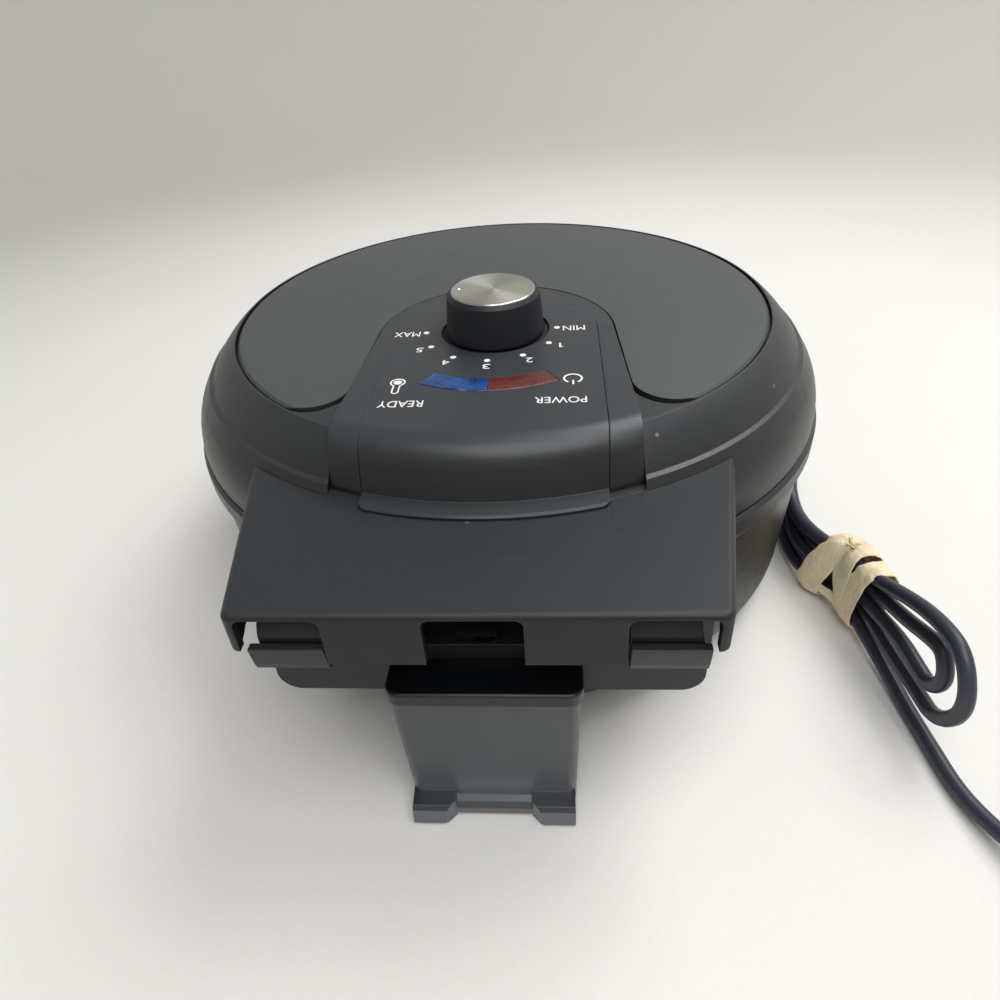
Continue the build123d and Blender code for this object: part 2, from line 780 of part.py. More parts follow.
# Control panel: a thin moulding that runs from the arch round the knob to a lip at the rear
thermostat_neck_r = 4.2
with BuildPart() as control_panel:
    with BuildSketch(Plane.XZ):
        with BuildLine():
            pod_wall(0)
            Polyline(
                (pod_wall_r, pod_wall_z),
                (lip_r - 0.6, pod_wall_z),
                (lip_r, pod_wall_z - 0.6),
                (lip_r, plate_top_z + 0.05),
                (pod_wall_r - panel_thick, plate_top_z + 0.05),
                (pod_wall_r - panel_thick, pod_wall_z + 1),
                (pod_top_r + 5.6, panel_z - 7.4),
                (pod_top_r - 1.6, panel_z - panel_thick),
                (0, panel_z - panel_thick),
                (0, panel_z),
                (pod_top_r, panel_z),
            )
        make_face()
    revolve(axis=Axis.Z)
    with BuildSketch(Plane.XY.offset(plate_top_z)):
        add(panel_outline(0))
    extrude(amount=20, mode=Mode.INTERSECT)
    lip_ends = control_panel.edges().filter_by(Axis.Z).group_by(Axis.Y)[-1]
    fillet(lip_ends, 3.0)
    with BuildSketch(Plane.XY.offset(panel_z - knob_well_depth)):
        with Locations((0, knob_y)):
            Circle(knob_well_r)
    extrude(amount=10, mode=Mode.SUBTRACT)
    with BuildSketch(Plane.XY.offset(panel_z - panel_thick - 1)):
        with Locations((0, knob_y)):
            Circle(thermostat_neck_r + 0.4)
        add(lens_outline(90 - lens_half_angle, 2 * lens_half_angle, lens_gap))
    extrude(amount=10, mode=Mode.SUBTRACT)
save(control_panel, "control_panel")

# Two indicator lenses share the curved slot
for start, name in ((90 - lens_half_angle, "ready_lens"), (90, "power_lens")):
    with BuildPart() as lens:
        with BuildSketch(Plane.XY.offset(panel_z - panel_thick)):
            add(lens_outline(start, lens_half_angle, 0))
        extrude(amount=panel_thick + lens_proud)
        fillet(lens.faces().sort_by(Axis.Z)[-1].edges(), 0.4)
    save(lens, name)

# Lamp tray under the lenses with two tube lamps
tray_top_z = panel_z - panel_thick - 2.6
with BuildPart() as lamp_tray:
    with BuildSketch(Plane.XY.offset(tray_top_z - 1.6)):
        with Locations((0, knob_y + 37)):
            RectangleRounded(46, 14, 3)
    extrude(amount=1.6)
    with BuildSketch(Plane.XY.offset(tray_top_z)):
        for post_x in (-21.0, 0.0, 21.0):
            with Locations((post_x, knob_y + 37)):
                Rectangle(2, 12)
    extrude(amount=2.4)
save(lamp_tray, "lamp_tray")
with BuildPart() as indicator_lamps:
    with BuildSketch(Plane.YZ.offset(-16)):
        with Locations((knob_y + 37, tray_top_z + 1.3)):
            Circle(1.2)
    extrude(amount=11)
    mirror(about=Plane.YZ)
save(indicator_lamps, "indicator_lamps")

# Hinge plate: a tapered tray whose skirt has three cut-outs, with barrels hung below it
plate_z0 = plate_top_z - plate_thick
taper = (plate_front_half - plate_rear_half) / (rear_reach - plate_front_y)
flange_in_half = plate_rear_half - plate_thick


def plate_outline(inset):
    """Plan of the hinge plate, narrower towards the rear."""
    front = plate_front_half - inset
    rear = plate_rear_half - inset + taper * inset
    with BuildSketch(mode=Mode.PRIVATE) as plan:
        with BuildLine():
            Polyline(
                (-front, plate_front_y),
                (-rear, rear_reach - inset),
                (rear, rear_reach - inset),
                (front, plate_front_y),
                close=True,
            )
        make_face()
    return plan.sketch


with BuildPart() as hinge_plate:
    with BuildSketch(Plane.XY.offset(flange_low_z)):
        add(plate_outline(0))
    extrude(amount=plate_top_z - flange_low_z)
    fillet(hinge_plate.edges().filter_by(Axis.Z).group_by(Axis.Y)[-1], 3.0)
    top_edges = hinge_plate.faces().sort_by(Axis.Z)[-1].edges()
    fillet(top_edges.filter_by(lambda edge: edge.center().Y > plate_front_y + 1), edge_round)
    with BuildSketch(Plane.XY.offset(flange_low_z)):
        add(plate_outline(plate_thick))
    extrude(amount=plate_z0 - flange_low_z, mode=Mode.SUBTRACT)
    with BuildSketch(Plane.XY.offset(skirt_low_z)):
        with Locations((0, rear_reach - plate_thick / 2)):
            Rectangle(2 * side_cut_x, plate_thick)
    extrude(amount=plate_z0 - skirt_low_z)
    with BuildSketch(Plane.XZ.offset(-rear_reach - 1)):
        for side in (-1, 1):
            with Locations((side * (side_cut_x + flange_in_half) / 2, cut_top_z - 10)):
                RectangleRounded(flange_in_half - side_cut_x, 20, cut_corner_r)
        with Locations((0, cut_top_z - 10)):
            RectangleRounded(2 * centre_cut_half, 20, cut_corner_r)
    extrude(amount=plate_thick + 2, mode=Mode.SUBTRACT)
    for side in (-1, 1):
        barrel_x = barrel_x0 if side > 0 else -barrel_x1
        with BuildSketch(Plane.YZ.offset(barrel_x)):
            with Locations((hinge_y, hinge_z)):
                Circle(barrel_r)
            with BuildLine():
                Polyline(
                    (hinge_y - 10.5, plate_z0 + 0.5),
                    (hinge_y - 6.3, hinge_z),
                    (hinge_y, hinge_z),
                    (hinge_y - 2.2, hinge_z + 6.0),
                    (hinge_y - 2.2, plate_z0 + 0.5),
                    close=True,
                )
            make_face()
            with Locations((hinge_y, hinge_z)):
                Circle(pin_r + running, mode=Mode.SUBTRACT)
        extrude(amount=barrel_x1 - barrel_x0)
    add(lid_body(panel_gap), mode=Mode.SUBTRACT)
    with BuildSketch(Plane.XY.offset(plate_top_z - 0.05)):
        with Locations((0, lip_r - 10)):
            Rectangle(2 * (panel_half + panel_gap), 20)
    extrude(amount=2, mode=Mode.SUBTRACT)
save(hinge_plate, "hinge_plate")

# Rubber gland on the hinge axis, where the wires pass into the lid
with BuildPart() as wire_gland:
    with BuildSketch(Plane.YZ.offset(-5)):
        with Locations((hinge_y, hinge_z)):
            Circle(gland_r)
        with BuildLine():
            Polyline(
                (hinge_y - 9, plate_z0),
                (hinge_y - 3.4, hinge_z + 1.6),
                (hinge_y, hinge_z),
                (hinge_y + 0.6, hinge_z + 3.0),
                (hinge_y - 1.4, plate_z0),
                close=True,
            )
        make_face()
    extrude(amount=10)
save(wire_gland, "wire_gland")

# Lid handle: a hollow rounded tab at the front
handle_root_y = -lid_r + 15.8
with BuildPart() as lid_handle:
    with BuildSketch(Plane.XY.offset(handle_low_z)):
        with Locations((0, (handle_root_y - rear_reach) / 2)):
            RectangleRounded(2 * handle_half, rear_reach + handle_root_y, 14)
    extrude(amount=handle_top_z - handle_low_z)
    fillet(lid_handle.faces().sort_by(Axis.Z)[-1].edges(), 3.0)
    with BuildSketch(Plane.XY.offset(handle_low_z)):
        with Locations((0, (handle_root_y - rear_reach) / 2)):
            RectangleRounded(
                2 * (handle_half - handle_wall), rear_reach + handle_root_y - 2 * handle_wall, 14 - handle_wall
            )
    extrude(amount=handle_top_z - handle_low_z - handle_wall, mode=Mode.SUBTRACT)
    with BuildSketch(Plane.XY.offset(handle_low_z)):
        with Locations((0, -rear_reach + 14)):
            with GridLocations(12, 1, 4, 1):
                Rectangle(1.8, 2 * 14 - 4)
    extrude(amount=handle_top_z - handle_low_z - 1)
    add(lid_body(panel_gap), mode=Mode.SUBTRACT)
    with BuildSketch(Plane.XY.offset(handle_low_z - 5)):
        Circle(lid_r - 3)
    extrude(amount=30, mode=Mode.SUBTRACT)
save(lid_handle, "lid_handle")

# Upper waffle plate: the lower one's mirror, hung from the lid ledge
tip_z = well_floor_z + well_depth + tip_gap
upper_floor_z = tip_z + well_depth
upper_flange_z = lid_ledge_z - 2.6
with BuildPart() as upper_waffle_plate:
    with BuildSketch(Plane.XZ):
        with BuildLine():
            Polyline(
                (0, upper_floor_z),
                (well_r, upper_floor_z),
                (ridge_in_r, tip_z - 0.9),
                (ridge_out_r, tip_z - 0.9),
                (ridge_out_r + 2, tip_z + 2.3),
                (channel_r, tip_z + 2.3),
                (channel_r + 1.8, upper_flange_z),
                (lid_in_r - 0.5, upper_flange_z),
                (lid_in_r - 0.5, lid_ledge_z),
                (ledge_r - fit, lid_ledge_z),
                (ledge_r - fit, lid_ledge_z + 3.4),
                (ridge_out_r + 3.4, lid_ledge_z + 3.6),
                (ridge_in_r + 1.2, upper_floor_z + plate_back),
                (0, upper_floor_z + plate_back),
                close=True,
            )
        make_face()
    revolve(axis=Axis.Z)
    with BuildSketch(Plane.XY.offset(upper_floor_z)):
        with Locations(*stud_places()):
            Rectangle(stud_base, stud_base)
    extrude(amount=-well_depth, taper=stud_taper)
save(upper_waffle_plate, "upper_waffle_plate")

upper_back_z = upper_floor_z + plate_back
with BuildPart() as upper_heating_element:
    add(heater(upper_back_z + fit, False))
    with BuildSketch(Plane.XY.offset(upper_shield_z - fit)):
        Circle(rim_r)
    extrude(amount=40, mode=Mode.SUBTRACT)
save(upper_heating_element, "upper_heating_element")

# Upper heat shield: a thin lid over the upper element, open round the thermostat
with BuildPart() as upper_heat_shield:
    with BuildSketch(Plane.XZ):
        with BuildLine():
            Polyline(
                (0, upper_shield_z),
                (ledge_r - 16.4, upper_shield_z),
                (ledge_r - 4.8, lid_ledge_z + 3.6 + fit),
                (ledge_r - 1.6, lid_ledge_z + 3.6 + fit),
                (ledge_r - 1.6, lid_ledge_z + 3.6 + fit + shield_thick),
                (ledge_r - 4.2, lid_ledge_z + 3.6 + fit + shield_thick),
                (ledge_r - 15.8, upper_shield_z + shield_thick),
                (0, upper_shield_z + shield_thick),
                close=True,
            )
        make_face()
    revolve(axis=Axis.Z)
    with BuildSketch(Plane.XY.offset(upper_shield_z - 1)):
        with Locations((0, knob_y)):
            Circle(shield_hole_r)
    extrude(amount=3, mode=Mode.SUBTRACT)
save(upper_heat_shield, "upper_heat_shield")

# Thermostat on the back of the upper plate, with a threaded neck up to the panel
thermostat_top_z = 97.2
neck_top_z = panel_z + 0.9
with BuildPart() as thermostat:
    with BuildSketch(Plane.XY.offset(upper_back_z + fit)):
        with Locations((0, knob_y)):
            RectangleRounded(26, 20, 3)
    extrude(amount=thermostat_top_z - upper_back_z - fit)
    with BuildSketch(Plane.XY.offset(thermostat_top_z)):
        with Locations((0, knob_y)):
            Circle(thermostat_neck_r)
    extrude(amount=neck_top_z - thermostat_top_z)
    with BuildSketch(Plane.XY.offset(thermostat_top_z - 3)):
        with Locations((0, knob_y)):
            Circle(shaft_r + running)
    extrude(amount=30, mode=Mode.SUBTRACT)
save(thermostat, "thermostat")

# Strap that presses the thermostat on to the plate, with a foot at each end
strap_top = thermostat_top_z + 0.1
with BuildPart() as thermostat_strap:
    with BuildSketch(Plane.XZ.offset(-knob_y - 6)):
        with BuildLine():
            Polyline(
                (-22, upper_back_z),
                (-14.4, upper_back_z),
                (-14.4, strap_top),
                (14.4, strap_top),
                (14.4, upper_back_z),
                (22, upper_back_z),
                (22, upper_back_z + 1.2),
                (15.6, upper_back_z + 1.2),
                (15.6, strap_top + 1.2),
                (-15.6, strap_top + 1.2),
                (-15.6, upper_back_z + 1.2),
                (-22, upper_back_z + 1.2),
                close=True,
            )
        make_face()
    extrude(amount=12)
    with BuildSketch(Plane.XY.offset(strap_top - 1)):
        with Locations((0, knob_y)):
            Circle(thermostat_neck_r + 0.4)
    extrude(amount=4, mode=Mode.SUBTRACT)
save(thermostat_strap, "thermostat_strap")

# Knob shaft turning in the thermostat's neck
knob_top_z = knob_z + knob_height
with BuildPart() as knob_shaft:
    with BuildSketch(Plane.XY.offset(thermostat_top_z - 2.7)):
        with Locations((0, knob_y)):
            Circle(shaft_r)
    extrude(amount=neck_top_z - thermostat_top_z + 2.9)
    with BuildSketch(Plane.XY.offset(neck_top_z + 0.2)):
        with Locations((0, knob_y)):
            Circle(shaft_r)
        with Locations((0, knob_y - 2 * shaft_r + 1.2)):
            Rectangle(2 * shaft_r, 2 * shaft_r, mode=Mode.SUBTRACT)
    extrude(amount=8.4)
save(knob_shaft, "knob_shaft")

# Knob: a tapered cup with a hub for the shaft's flat and a seat for the metal cap
with BuildPart() as knob_body:
    with BuildSketch(Plane.XZ):
        with BuildLine():
            Polyline(
                (0, knob_z + 2.6),
                (5.6, knob_z + 2.6),
                (5.6, knob_top_z - 4.0),
                (knob_r - 2.4, knob_top_z - 4.0),
                (knob_r - 1.6, knob_z),
                (knob_r - 0.4, knob_z),
                (knob_r, knob_z + 0.6),
                (knob_top_r + 0.1, knob_top_z - 1.2),
                (knob_top_r - 0.9, knob_top_z),
                (cap_r, knob_top_z),
                (cap_r, knob_top_z - cap_thick + 0.4),
                (0, knob_top_z - cap_thick + 0.4),
                close=True,
            )
        make_face()
    revolve(axis=Axis.Z)
    with BuildSketch(Plane.XY.offset(knob_z)):
        Circle(shaft_r)
        with Locations((0, -2 * shaft_r + 1.2)):
            Rectangle(2 * shaft_r, 2 * shaft_r, mode=Mode.SUBTRACT)
    extrude(amount=neck_top_z + 8.6 - knob_z, mode=Mode.SUBTRACT)
knob_body.part.position = (0, knob_y, 0)
save(knob_body, "knob_body")

# Brushed cap pressed into the knob's seat, with a small pointer dimple
with BuildPart() as knob_cap:
    with BuildSketch(Plane.XY.offset(knob_top_z - cap_thick + 0.4)):
        with Locations((0, knob_y)):
            Circle(cap_r)
    extrude(amount=cap_thick)
    fillet(knob_cap.faces().sort_by(Axis.Z)[-1].edges(), 0.5)
    with Locations((cap_r - 3.2, knob_y, knob_top_z + 0.4 + 1.2)):
        Sphere(1.6, mode=Mode.SUBTRACT)
save(knob_cap, "knob_cap")

# Dark ring on the floor of the well round the knob
with BuildPart() as knob_bezel:
    with BuildSketch(Plane.XY.offset(panel_z - knob_well_depth)):
        with Locations((0, knob_y)):
            Circle(knob_well_r - 0.1)
            Circle(knob_r - 3.0, mode=Mode.SUBTRACT)
    extrude(amount=0.4)
save(knob_bezel, "knob_bezel")

# Strain relief: a flange inside the wall and a ribbed taper outside
relief_length = relief_end_r - relief_start_r
with BuildPart() as strain_relief:
    with BuildSketch(relief_plane.offset(relief_start_r)):
        Circle(relief_r)
    extrude(amount=10)
    with BuildSketch(relief_plane.offset(relief_start_r + 10)):
        Circle(relief_r)
    with BuildSketch(relief_plane.offset(relief_end_r)):
        Circle(relief_tip_r)
    loft()
    for rib in range(4):
        rib_at = relief_start_r + 13 + rib * 3.6
        rib_r = relief_r - (relief_r - relief_tip_r) * (rib_at - relief_start_r - 10) / (relief_length - 10)
        with BuildSketch(relief_plane.offset(rib_at)):
            Circle(rib_r + 0.2)
            Circle(rib_r - 0.7, mode=Mode.SUBTRACT)
        extrude(amount=1.5, mode=Mode.SUBTRACT)
save(strain_relief, "strain_relief")

# Hank frame: station along the run, height across it, and side off the hank's plane
lean = Vector(hank_lean, math.sqrt(1 - hank_lean**2), 0)
outboard = Vector(-lean.Y, lean.X, 0)
hank_z = 2 * hank_step + cord_d / 2 + 0.1
hank_origin = Vector(tie_x, tie_y, hank_z) - lean * tie_station
lead_side = cord_d + 0.9


def hank_point(station, height, side=0.0):
    """A point of the hank in the model frame."""
    return hank_origin + lean * station + Vector(0, 0, height) + outboard * side


def gentle_bend(start, end, across):
    """Two equal arcs that move the cord sideways between two stations, tangent to the run."""
    length = end[0] - start[0]
    shift = end[1] - start[1]
    half_angle = 2 * math.atan(abs(shift / length))
    radius = abs(length) / (2 * math.sin(half_angle))
    bulge = radius * (1 - math.cos(half_angle / 2))
    sign = 1 if shift > 0 else -1
    reach = radius * math.sin(half_angle / 2) * (1 if length > 0 else -1)
    middle = ((start[0] + end[0]) / 2, (start[1] + end[1]) / 2)
    first = (start[0] + reach, start[1] + sign * bulge)
    second = (end[0] - reach, end[1] - sign * bulge)
    ThreePointArc(across(*start), across(*first), across(*middle))
    ThreePointArc(across(*middle), across(*second), across(*end))


def hank_strand(level, forward):
    """One run of the hank, drawn in at the waist, in either direction."""
    outer = level * hank_step
    inner = level * waist_step - waist_drop
    points = [(0, outer), (waist_start, inner), (waist_end, inner), (hank_run, outer)]
    if not forward:
        points.reverse()
    gentle_bend(points[0], points[1], hank_point)
    Line(hank_point(*points[1]), hank_point(*points[2]))
    gentle_bend(points[2], points[3], hank_point)


def hank_turn(station, low, high, way):
    """A half turn between two levels at one end of the hank."""
    centre = (low + high) / 2 * hank_step
    radius = abs(high - low) / 2 * hank_step
    ThreePointArc(
        hank_point(station, low * hank_step),
        hank_point(station + way * radius, centre),
        hank_point(station, high * hank_step),
    )


lead_in = -34.0
climb_start = 16.0
climb_end = 58.0
lead_route = [
    relief_plane.origin + relief_plane.z_dir * relief_end_r,
    relief_plane.origin + relief_plane.z_dir * (relief_end_r + 30),
    Vector(-110, -156, 10),
    Vector(-134, -138, 10),
    hank_point(lead_in - 50, -waist_drop, lead_side),
    hank_point(lead_in, -waist_drop, lead_side),
]
tail_route = [
    hank_point(hank_run + 6, -2 * hank_step),
    hank_point(hank_run + 32, -2 * hank_step),
    Vector(-151, 166, 8.6),
    Vector(-169, 184, 8.6),
]


def bend_radii(route):
    """Largest tangent arcs that the runs of a cord allow."""
    radii = []
    for before, corner, after in zip(route, route[1:], route[2:]):
        turn = (corner - before).get_angle(after - corner)
        shorter = min((corner - before).length, (after - corner).length)
        radii.append(0.45 * shorter / math.tan(math.radians(turn / 2)))
    return radii


cord_lengths = {}
for route, name in ((lead_route, "cord_lead"), (tail_route, "cord_tail")):
    radii = bend_radii(route)
    with BuildPart() as cord:
        with BuildLine() as cord_path:
            FilletPolyline(*route, radius=radii)
        with BuildSketch(Plane(origin=route[0], z_dir=route[1] - route[0])):
            Circle(cord_d / 2)
        sweep()
    cord_lengths[name] = sum(edge.length for edge in cord_path.edges())
    print(name, "radii", [round(radius, 1) for radius in radii], "length", round(cord_lengths[name], 1))
    print("volume share", round(cord.part.volume / (math.pi * cord_d**2 / 4 * cord_lengths[name]), 4))
    save(cord, name)

# Hank: five runs in one upright plane, wound outwards from the middle run
with BuildPart() as cord_hank:
    with BuildLine() as hank_path:
        Line(hank_point(lead_in, -waist_drop, lead_side), hank_point(climb_start, -waist_drop, lead_side))
        gentle_bend(
            (climb_start, lead_side),
            (climb_end, 0),
            lambda station, side: hank_point(station, -waist_drop, side),
        )
        Line(hank_point(climb_end, -waist_drop), hank_point(waist_end, -waist_drop))
        gentle_bend((waist_end, -waist_drop), (hank_run, 0), hank_point)
        hank_turn(hank_run, 0, 1, 1)
        hank_strand(1, False)
        hank_turn(0, 1, -1, -1)
        hank_strand(-1, True)
        hank_turn(hank_run, -1, 2, 1)
        hank_strand(2, False)
        hank_turn(0, 2, -2, -1)
        hank_strand(-2, True)
        Line(hank_point(hank_run, -2 * hank_step), hank_point(hank_run + 6, -2 * hank_step))
    with BuildSketch(Plane(origin=hank_point(lead_in, -waist_drop, lead_side), z_dir=lean)):
        Circle(cord_d / 2)
    sweep()
cord_lengths["cord_hank"] = sum(edge.length for edge in hank_path.edges())
marks = []
run_length = 0.0
for edge in hank_path.edges():
    count = max(2, int(edge.length / 1.5))
    marks += [(run_length + edge.length * i / count, edge.position_at(i / count)) for i in range(count)]
    run_length += edge.length
least_gap = min(
    (a[1] - b[1]).length - cord_d for i, a in enumerate(marks) for b in marks[i + 1:] if b[0] - a[0] > 4 * cord_d
)
print("hank length", round(run_length, 1), "least gap", round(least_gap, 2))
print("volume share", round(cord_hank.part.volume / (math.pi * cord_d**2 / 4 * run_length), 4))
print("cord length", round(sum(cord_lengths.values()), 1))
save(cord_hank, "cord_hank")

# Paper tie: two flat bands crossed round the waist of the hank
tie_height = 4 * waist_step + cord_d + 4.2
tie_thick = 2 * cord_d + 2.6
tie_band = 9.0
tie_wall = 0.8
tie_tilt = 17.0
with BuildPart() as cord_tie:
    for tilt in (-tie_tilt, tie_tilt):
        tie_plane = Plane(
            origin=hank_point(tie_station, -waist_drop, lead_side / 2),
            x_dir=outboard,
            z_dir=lean.rotate(Axis((0, 0, 0), outboard), tilt),
        )
        with BuildSketch(tie_plane.offset(-tie_band / 2)):
            RectangleRounded(tie_thick + 2 * tie_wall, tie_height + 2 * tie_wall, 3.0)
            RectangleRounded(tie_thick, tie_height, 2.2, mode=Mode.SUBTRACT)
        extrude(amount=tie_band)
save(cord_tie, "cord_tie")

# Two-blade plug at the end of the cord
plug_way = (tail_route[-1] - tail_route[-2]).normalized()
plug_plane = Plane(origin=tail_route[-1], x_dir=Vector(0, 0, 1).cross(plug_way), z_dir=plug_way)
with BuildPart() as power_plug:
    with BuildSketch(plug_plane):
        RectangleRounded(8, 7, 3)
    with BuildSketch(plug_plane.offset(12)):
        RectangleRounded(20, 16, 5)
    loft()
    with BuildSketch(plug_plane.offset(12)):
        RectangleRounded(20, 16, 5)
    extrude(amount=16)
    with BuildSketch(plug_plane.offset(26)):
        with GridLocations(12.7, 1, 2, 1):
            Rectangle(1.5, 6.3)
    extrude(amount=4, mode=Mode.SUBTRACT)
save(power_plug, "power_plug")
with BuildPart() as plug_blades:
    with BuildSketch(plug_plane.offset(26)):
        with GridLocations(12.7, 1, 2, 1):
            Rectangle(1.5, 6.3)
    extrude(amount=18)
save(plug_blades, "plug_blades")
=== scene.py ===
"""Looks of a round countertop waffle maker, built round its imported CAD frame."""

import math

import bmesh
import bpy
from bpy.props import FloatProperty, FloatVectorProperty, PointerProperty
from mathutils import Matrix, Vector, noise


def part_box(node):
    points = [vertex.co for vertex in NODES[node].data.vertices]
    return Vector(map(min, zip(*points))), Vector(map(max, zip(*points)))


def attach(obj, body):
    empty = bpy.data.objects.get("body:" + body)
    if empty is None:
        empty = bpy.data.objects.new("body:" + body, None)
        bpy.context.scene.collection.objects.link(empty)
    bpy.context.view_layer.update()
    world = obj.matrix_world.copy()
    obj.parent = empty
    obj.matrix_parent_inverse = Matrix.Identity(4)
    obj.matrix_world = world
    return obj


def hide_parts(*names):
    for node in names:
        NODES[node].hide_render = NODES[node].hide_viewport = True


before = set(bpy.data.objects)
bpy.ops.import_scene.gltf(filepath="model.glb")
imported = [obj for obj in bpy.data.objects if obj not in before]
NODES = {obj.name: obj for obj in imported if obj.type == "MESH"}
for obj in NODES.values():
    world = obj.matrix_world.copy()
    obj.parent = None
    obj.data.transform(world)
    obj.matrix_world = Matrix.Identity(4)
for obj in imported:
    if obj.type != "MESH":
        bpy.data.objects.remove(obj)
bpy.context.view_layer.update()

bl_info = {
    "name": "Waffle Maker Looks",
    "version": (1, 0, 0),
    "blender": (4, 5, 0),
    "location": "View3D > Sidebar > Waffle Maker",
    "description": "Finishes, legends, supply cord and stage of a countertop waffle maker",
    "category": "Object",
}

MM = 0.001
PANEL_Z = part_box("pod_frame")[1].z + 0.5 * MM
KNOB_CENTRE = sum(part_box("knob_cap"), Vector()) / 2
LEG_CAP_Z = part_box("standing_leg")[1].z - 4.2 * MM
INK_GAP = 0.02 * MM
SENSOR_WIDTH = 36.0


def srgb(red, green, blue):
    """Linear colour from screen values of 0 to 255."""
    return tuple(
        (v / 12.92 if v <= 0.04045 else ((v + 0.055) / 1.055) ** 2.4)
        for v in (red / 255, green / 255, blue / 255)
    )


def colour(name, description, default):
    """A colour that a user may change."""
    return FloatVectorProperty(
        name=name, description=description, subtype="COLOR", size=3, min=0, max=1, default=default
    )


def length(name, description, default):
    """A length that a user may change."""
    return FloatProperty(name=name, description=description, unit="LENGTH", default=default)


def angle(name, description, degrees):
    """An angle that a user may change."""
    return FloatProperty(
        name=name, description=description, subtype="ANGLE", default=math.radians(degrees)
    )


class CameraSettings(bpy.types.PropertyGroup):
    """Where the photo was taken from."""

    lens: FloatProperty(
        name="Focal length", description="Lens in mm on a 36 mm sensor", default=27.07
    )
    place: FloatVectorProperty(
        name="Place", description="Camera position", subtype="XYZ", unit="LENGTH",
        default=(-0.0202, 0.2690, 0.2134),
    )
    pitch: angle("Pitch", "How far the camera looks down", 36.72)
    yaw: angle("Yaw", "Turn about the vertical", 5.44)
    roll: angle("Roll", "Tilt of the horizon", -4.09)


class CordSettings(bpy.types.PropertyGroup):
    """Sizes and colours of the supply cord and its paper tie."""

    diameter: length("Diameter", "Outer diameter of the cord", 0.005)
    jacket: colour("Jacket", "Colour of the cord's vinyl jacket", srgb(46, 49, 62))
    paper: colour("Paper", "Colour of the crepe paper tie", srgb(240, 222, 188))
    band: length("Tie band", "Width of one turn of the paper tie", 0.011)


class BodySettings(bpy.types.PropertyGroup):
    """Colours of the mouldings."""

    shell: colour("Shell", "Colour of the drum and lid mouldings", srgb(26, 28, 30))
    inlay: colour("Top panel", "Colour of the lid's top panel", srgb(43, 45, 46))
    pod: colour("Pod", "Colour of the control pod", srgb(30, 32, 35))
    leg: colour("Leg", "Colour of the smooth standing leg", srgb(62, 66, 71))
    cap: colour("Leg cap", "Colour of the cap on the standing leg", srgb(10, 13, 18))
    rubber: colour("Rubber", "Colour of feet, gland and strain relief", srgb(15, 15, 16))


class ControlSettings(bpy.types.PropertyGroup):
    """Knob, lamps and legends."""

    knob: colour("Knob", "Colour of the soft knob", srgb(9, 13, 22))
    cap: colour("Cap", "Colour of the brushed cap", srgb(212, 210, 203))
    ready: colour("Ready lens", "Colour of the ready lens", srgb(8, 78, 158))
    power: colour("Power lens", "Colour of the power lens", srgb(112, 40, 42))
    ink: colour("Ink", "Colour of the printed legends", srgb(232, 233, 232))
    letter: length("Letter height", "Height of the printed numbers", 0.0032)
    dial: length("Dial radius", "Radius of the ring of dial dots", 0.0222)
    ink_thickness: length("Ink thickness", "How far the print stands up", 0.00006)


class StageSettings(bpy.types.PropertyGroup):
    """Floor and light."""

    floor: colour("Floor", "Colour of the paper floor and backdrop", srgb(233, 231, 227))
    # The backdrop colour is kept darker than the floor's to paint in the light falling off on the
    # wall.
    wall: colour("Backdrop", "Colour of the backdrop above the floor", srgb(192, 191, 185))
    sky: FloatProperty(name="Sky", description="Strength of the even light", default=0.25)
    key: FloatProperty(
        name="Key lamp", description="Power of the big soft lamp in watts", default=11.5
    )
    fill: FloatProperty(
        name="Fill lamp", description="Power in watts of the lamp over the hinge", default=11.0
    )


SETTINGS = {
    "waffle_camera": CameraSettings,
    "waffle_cord": CordSettings,
    "waffle_body": BodySettings,
    "waffle_controls": ControlSettings,
    "waffle_stage": StageSettings,
}


class Wire:
    """A shader output that takes part in plain arithmetic."""

    def __init__(self, nodes, node, output=0):
        self.nodes = nodes
        self.node = node
        self.socket = node.outputs[output] if node.outputs else None

    def output(self, name):
        """Another output of the same node."""
        return Wire(self.nodes, self.node, name)

    def _math(self, operation, first, second):
        return self.nodes.node("ShaderNodeMath", {"operation": operation}, {0: first, 1: second})

    def __add__(self, other):
        return self._math("ADD", self, other)

    __radd__ = __add__

    def __sub__(self, other):
        return self._math("SUBTRACT", self, other)

    def __rsub__(self, other):
        return self._math("SUBTRACT", other, self)

    def __mul__(self, other):
        return self._math("MULTIPLY", self, other)

    __rmul__ = __mul__

    def ramp(self, low, high):
        """0 below low, 1 above high, smooth between."""
        return self.nodes.node(
            "ShaderNodeMapRange",
            {"interpolation_type": "SMOOTHSTEP"},
            {"Value": self, "From Min": low, "From Max": high, "To Min": 0.0, "To Max": 1.0},
        )


class Nodes:
    """The node tree of a material or a world."""

    def __init__(self, owner):
        owner.use_nodes = True
        self.tree = owner.node_tree
        self.tree.nodes.clear()

    def node(self, kind, settings, inputs):
        """Adds a node of that kind, with its settings first and then its inputs."""
        made = self.tree.nodes.new(kind)
        for name, value in settings.items():
            setattr(made, name, value)
        for name, value in inputs.items():
            if isinstance(value, Wire):
                self.tree.links.new(value.socket, made.inputs[name])
            elif hasattr(value, "__len__") and made.inputs[name].type == "RGBA":
                made.inputs[name].default_value = (*value, 1.0)
            else:
                made.inputs[name].default_value = value
        return Wire(self, made)


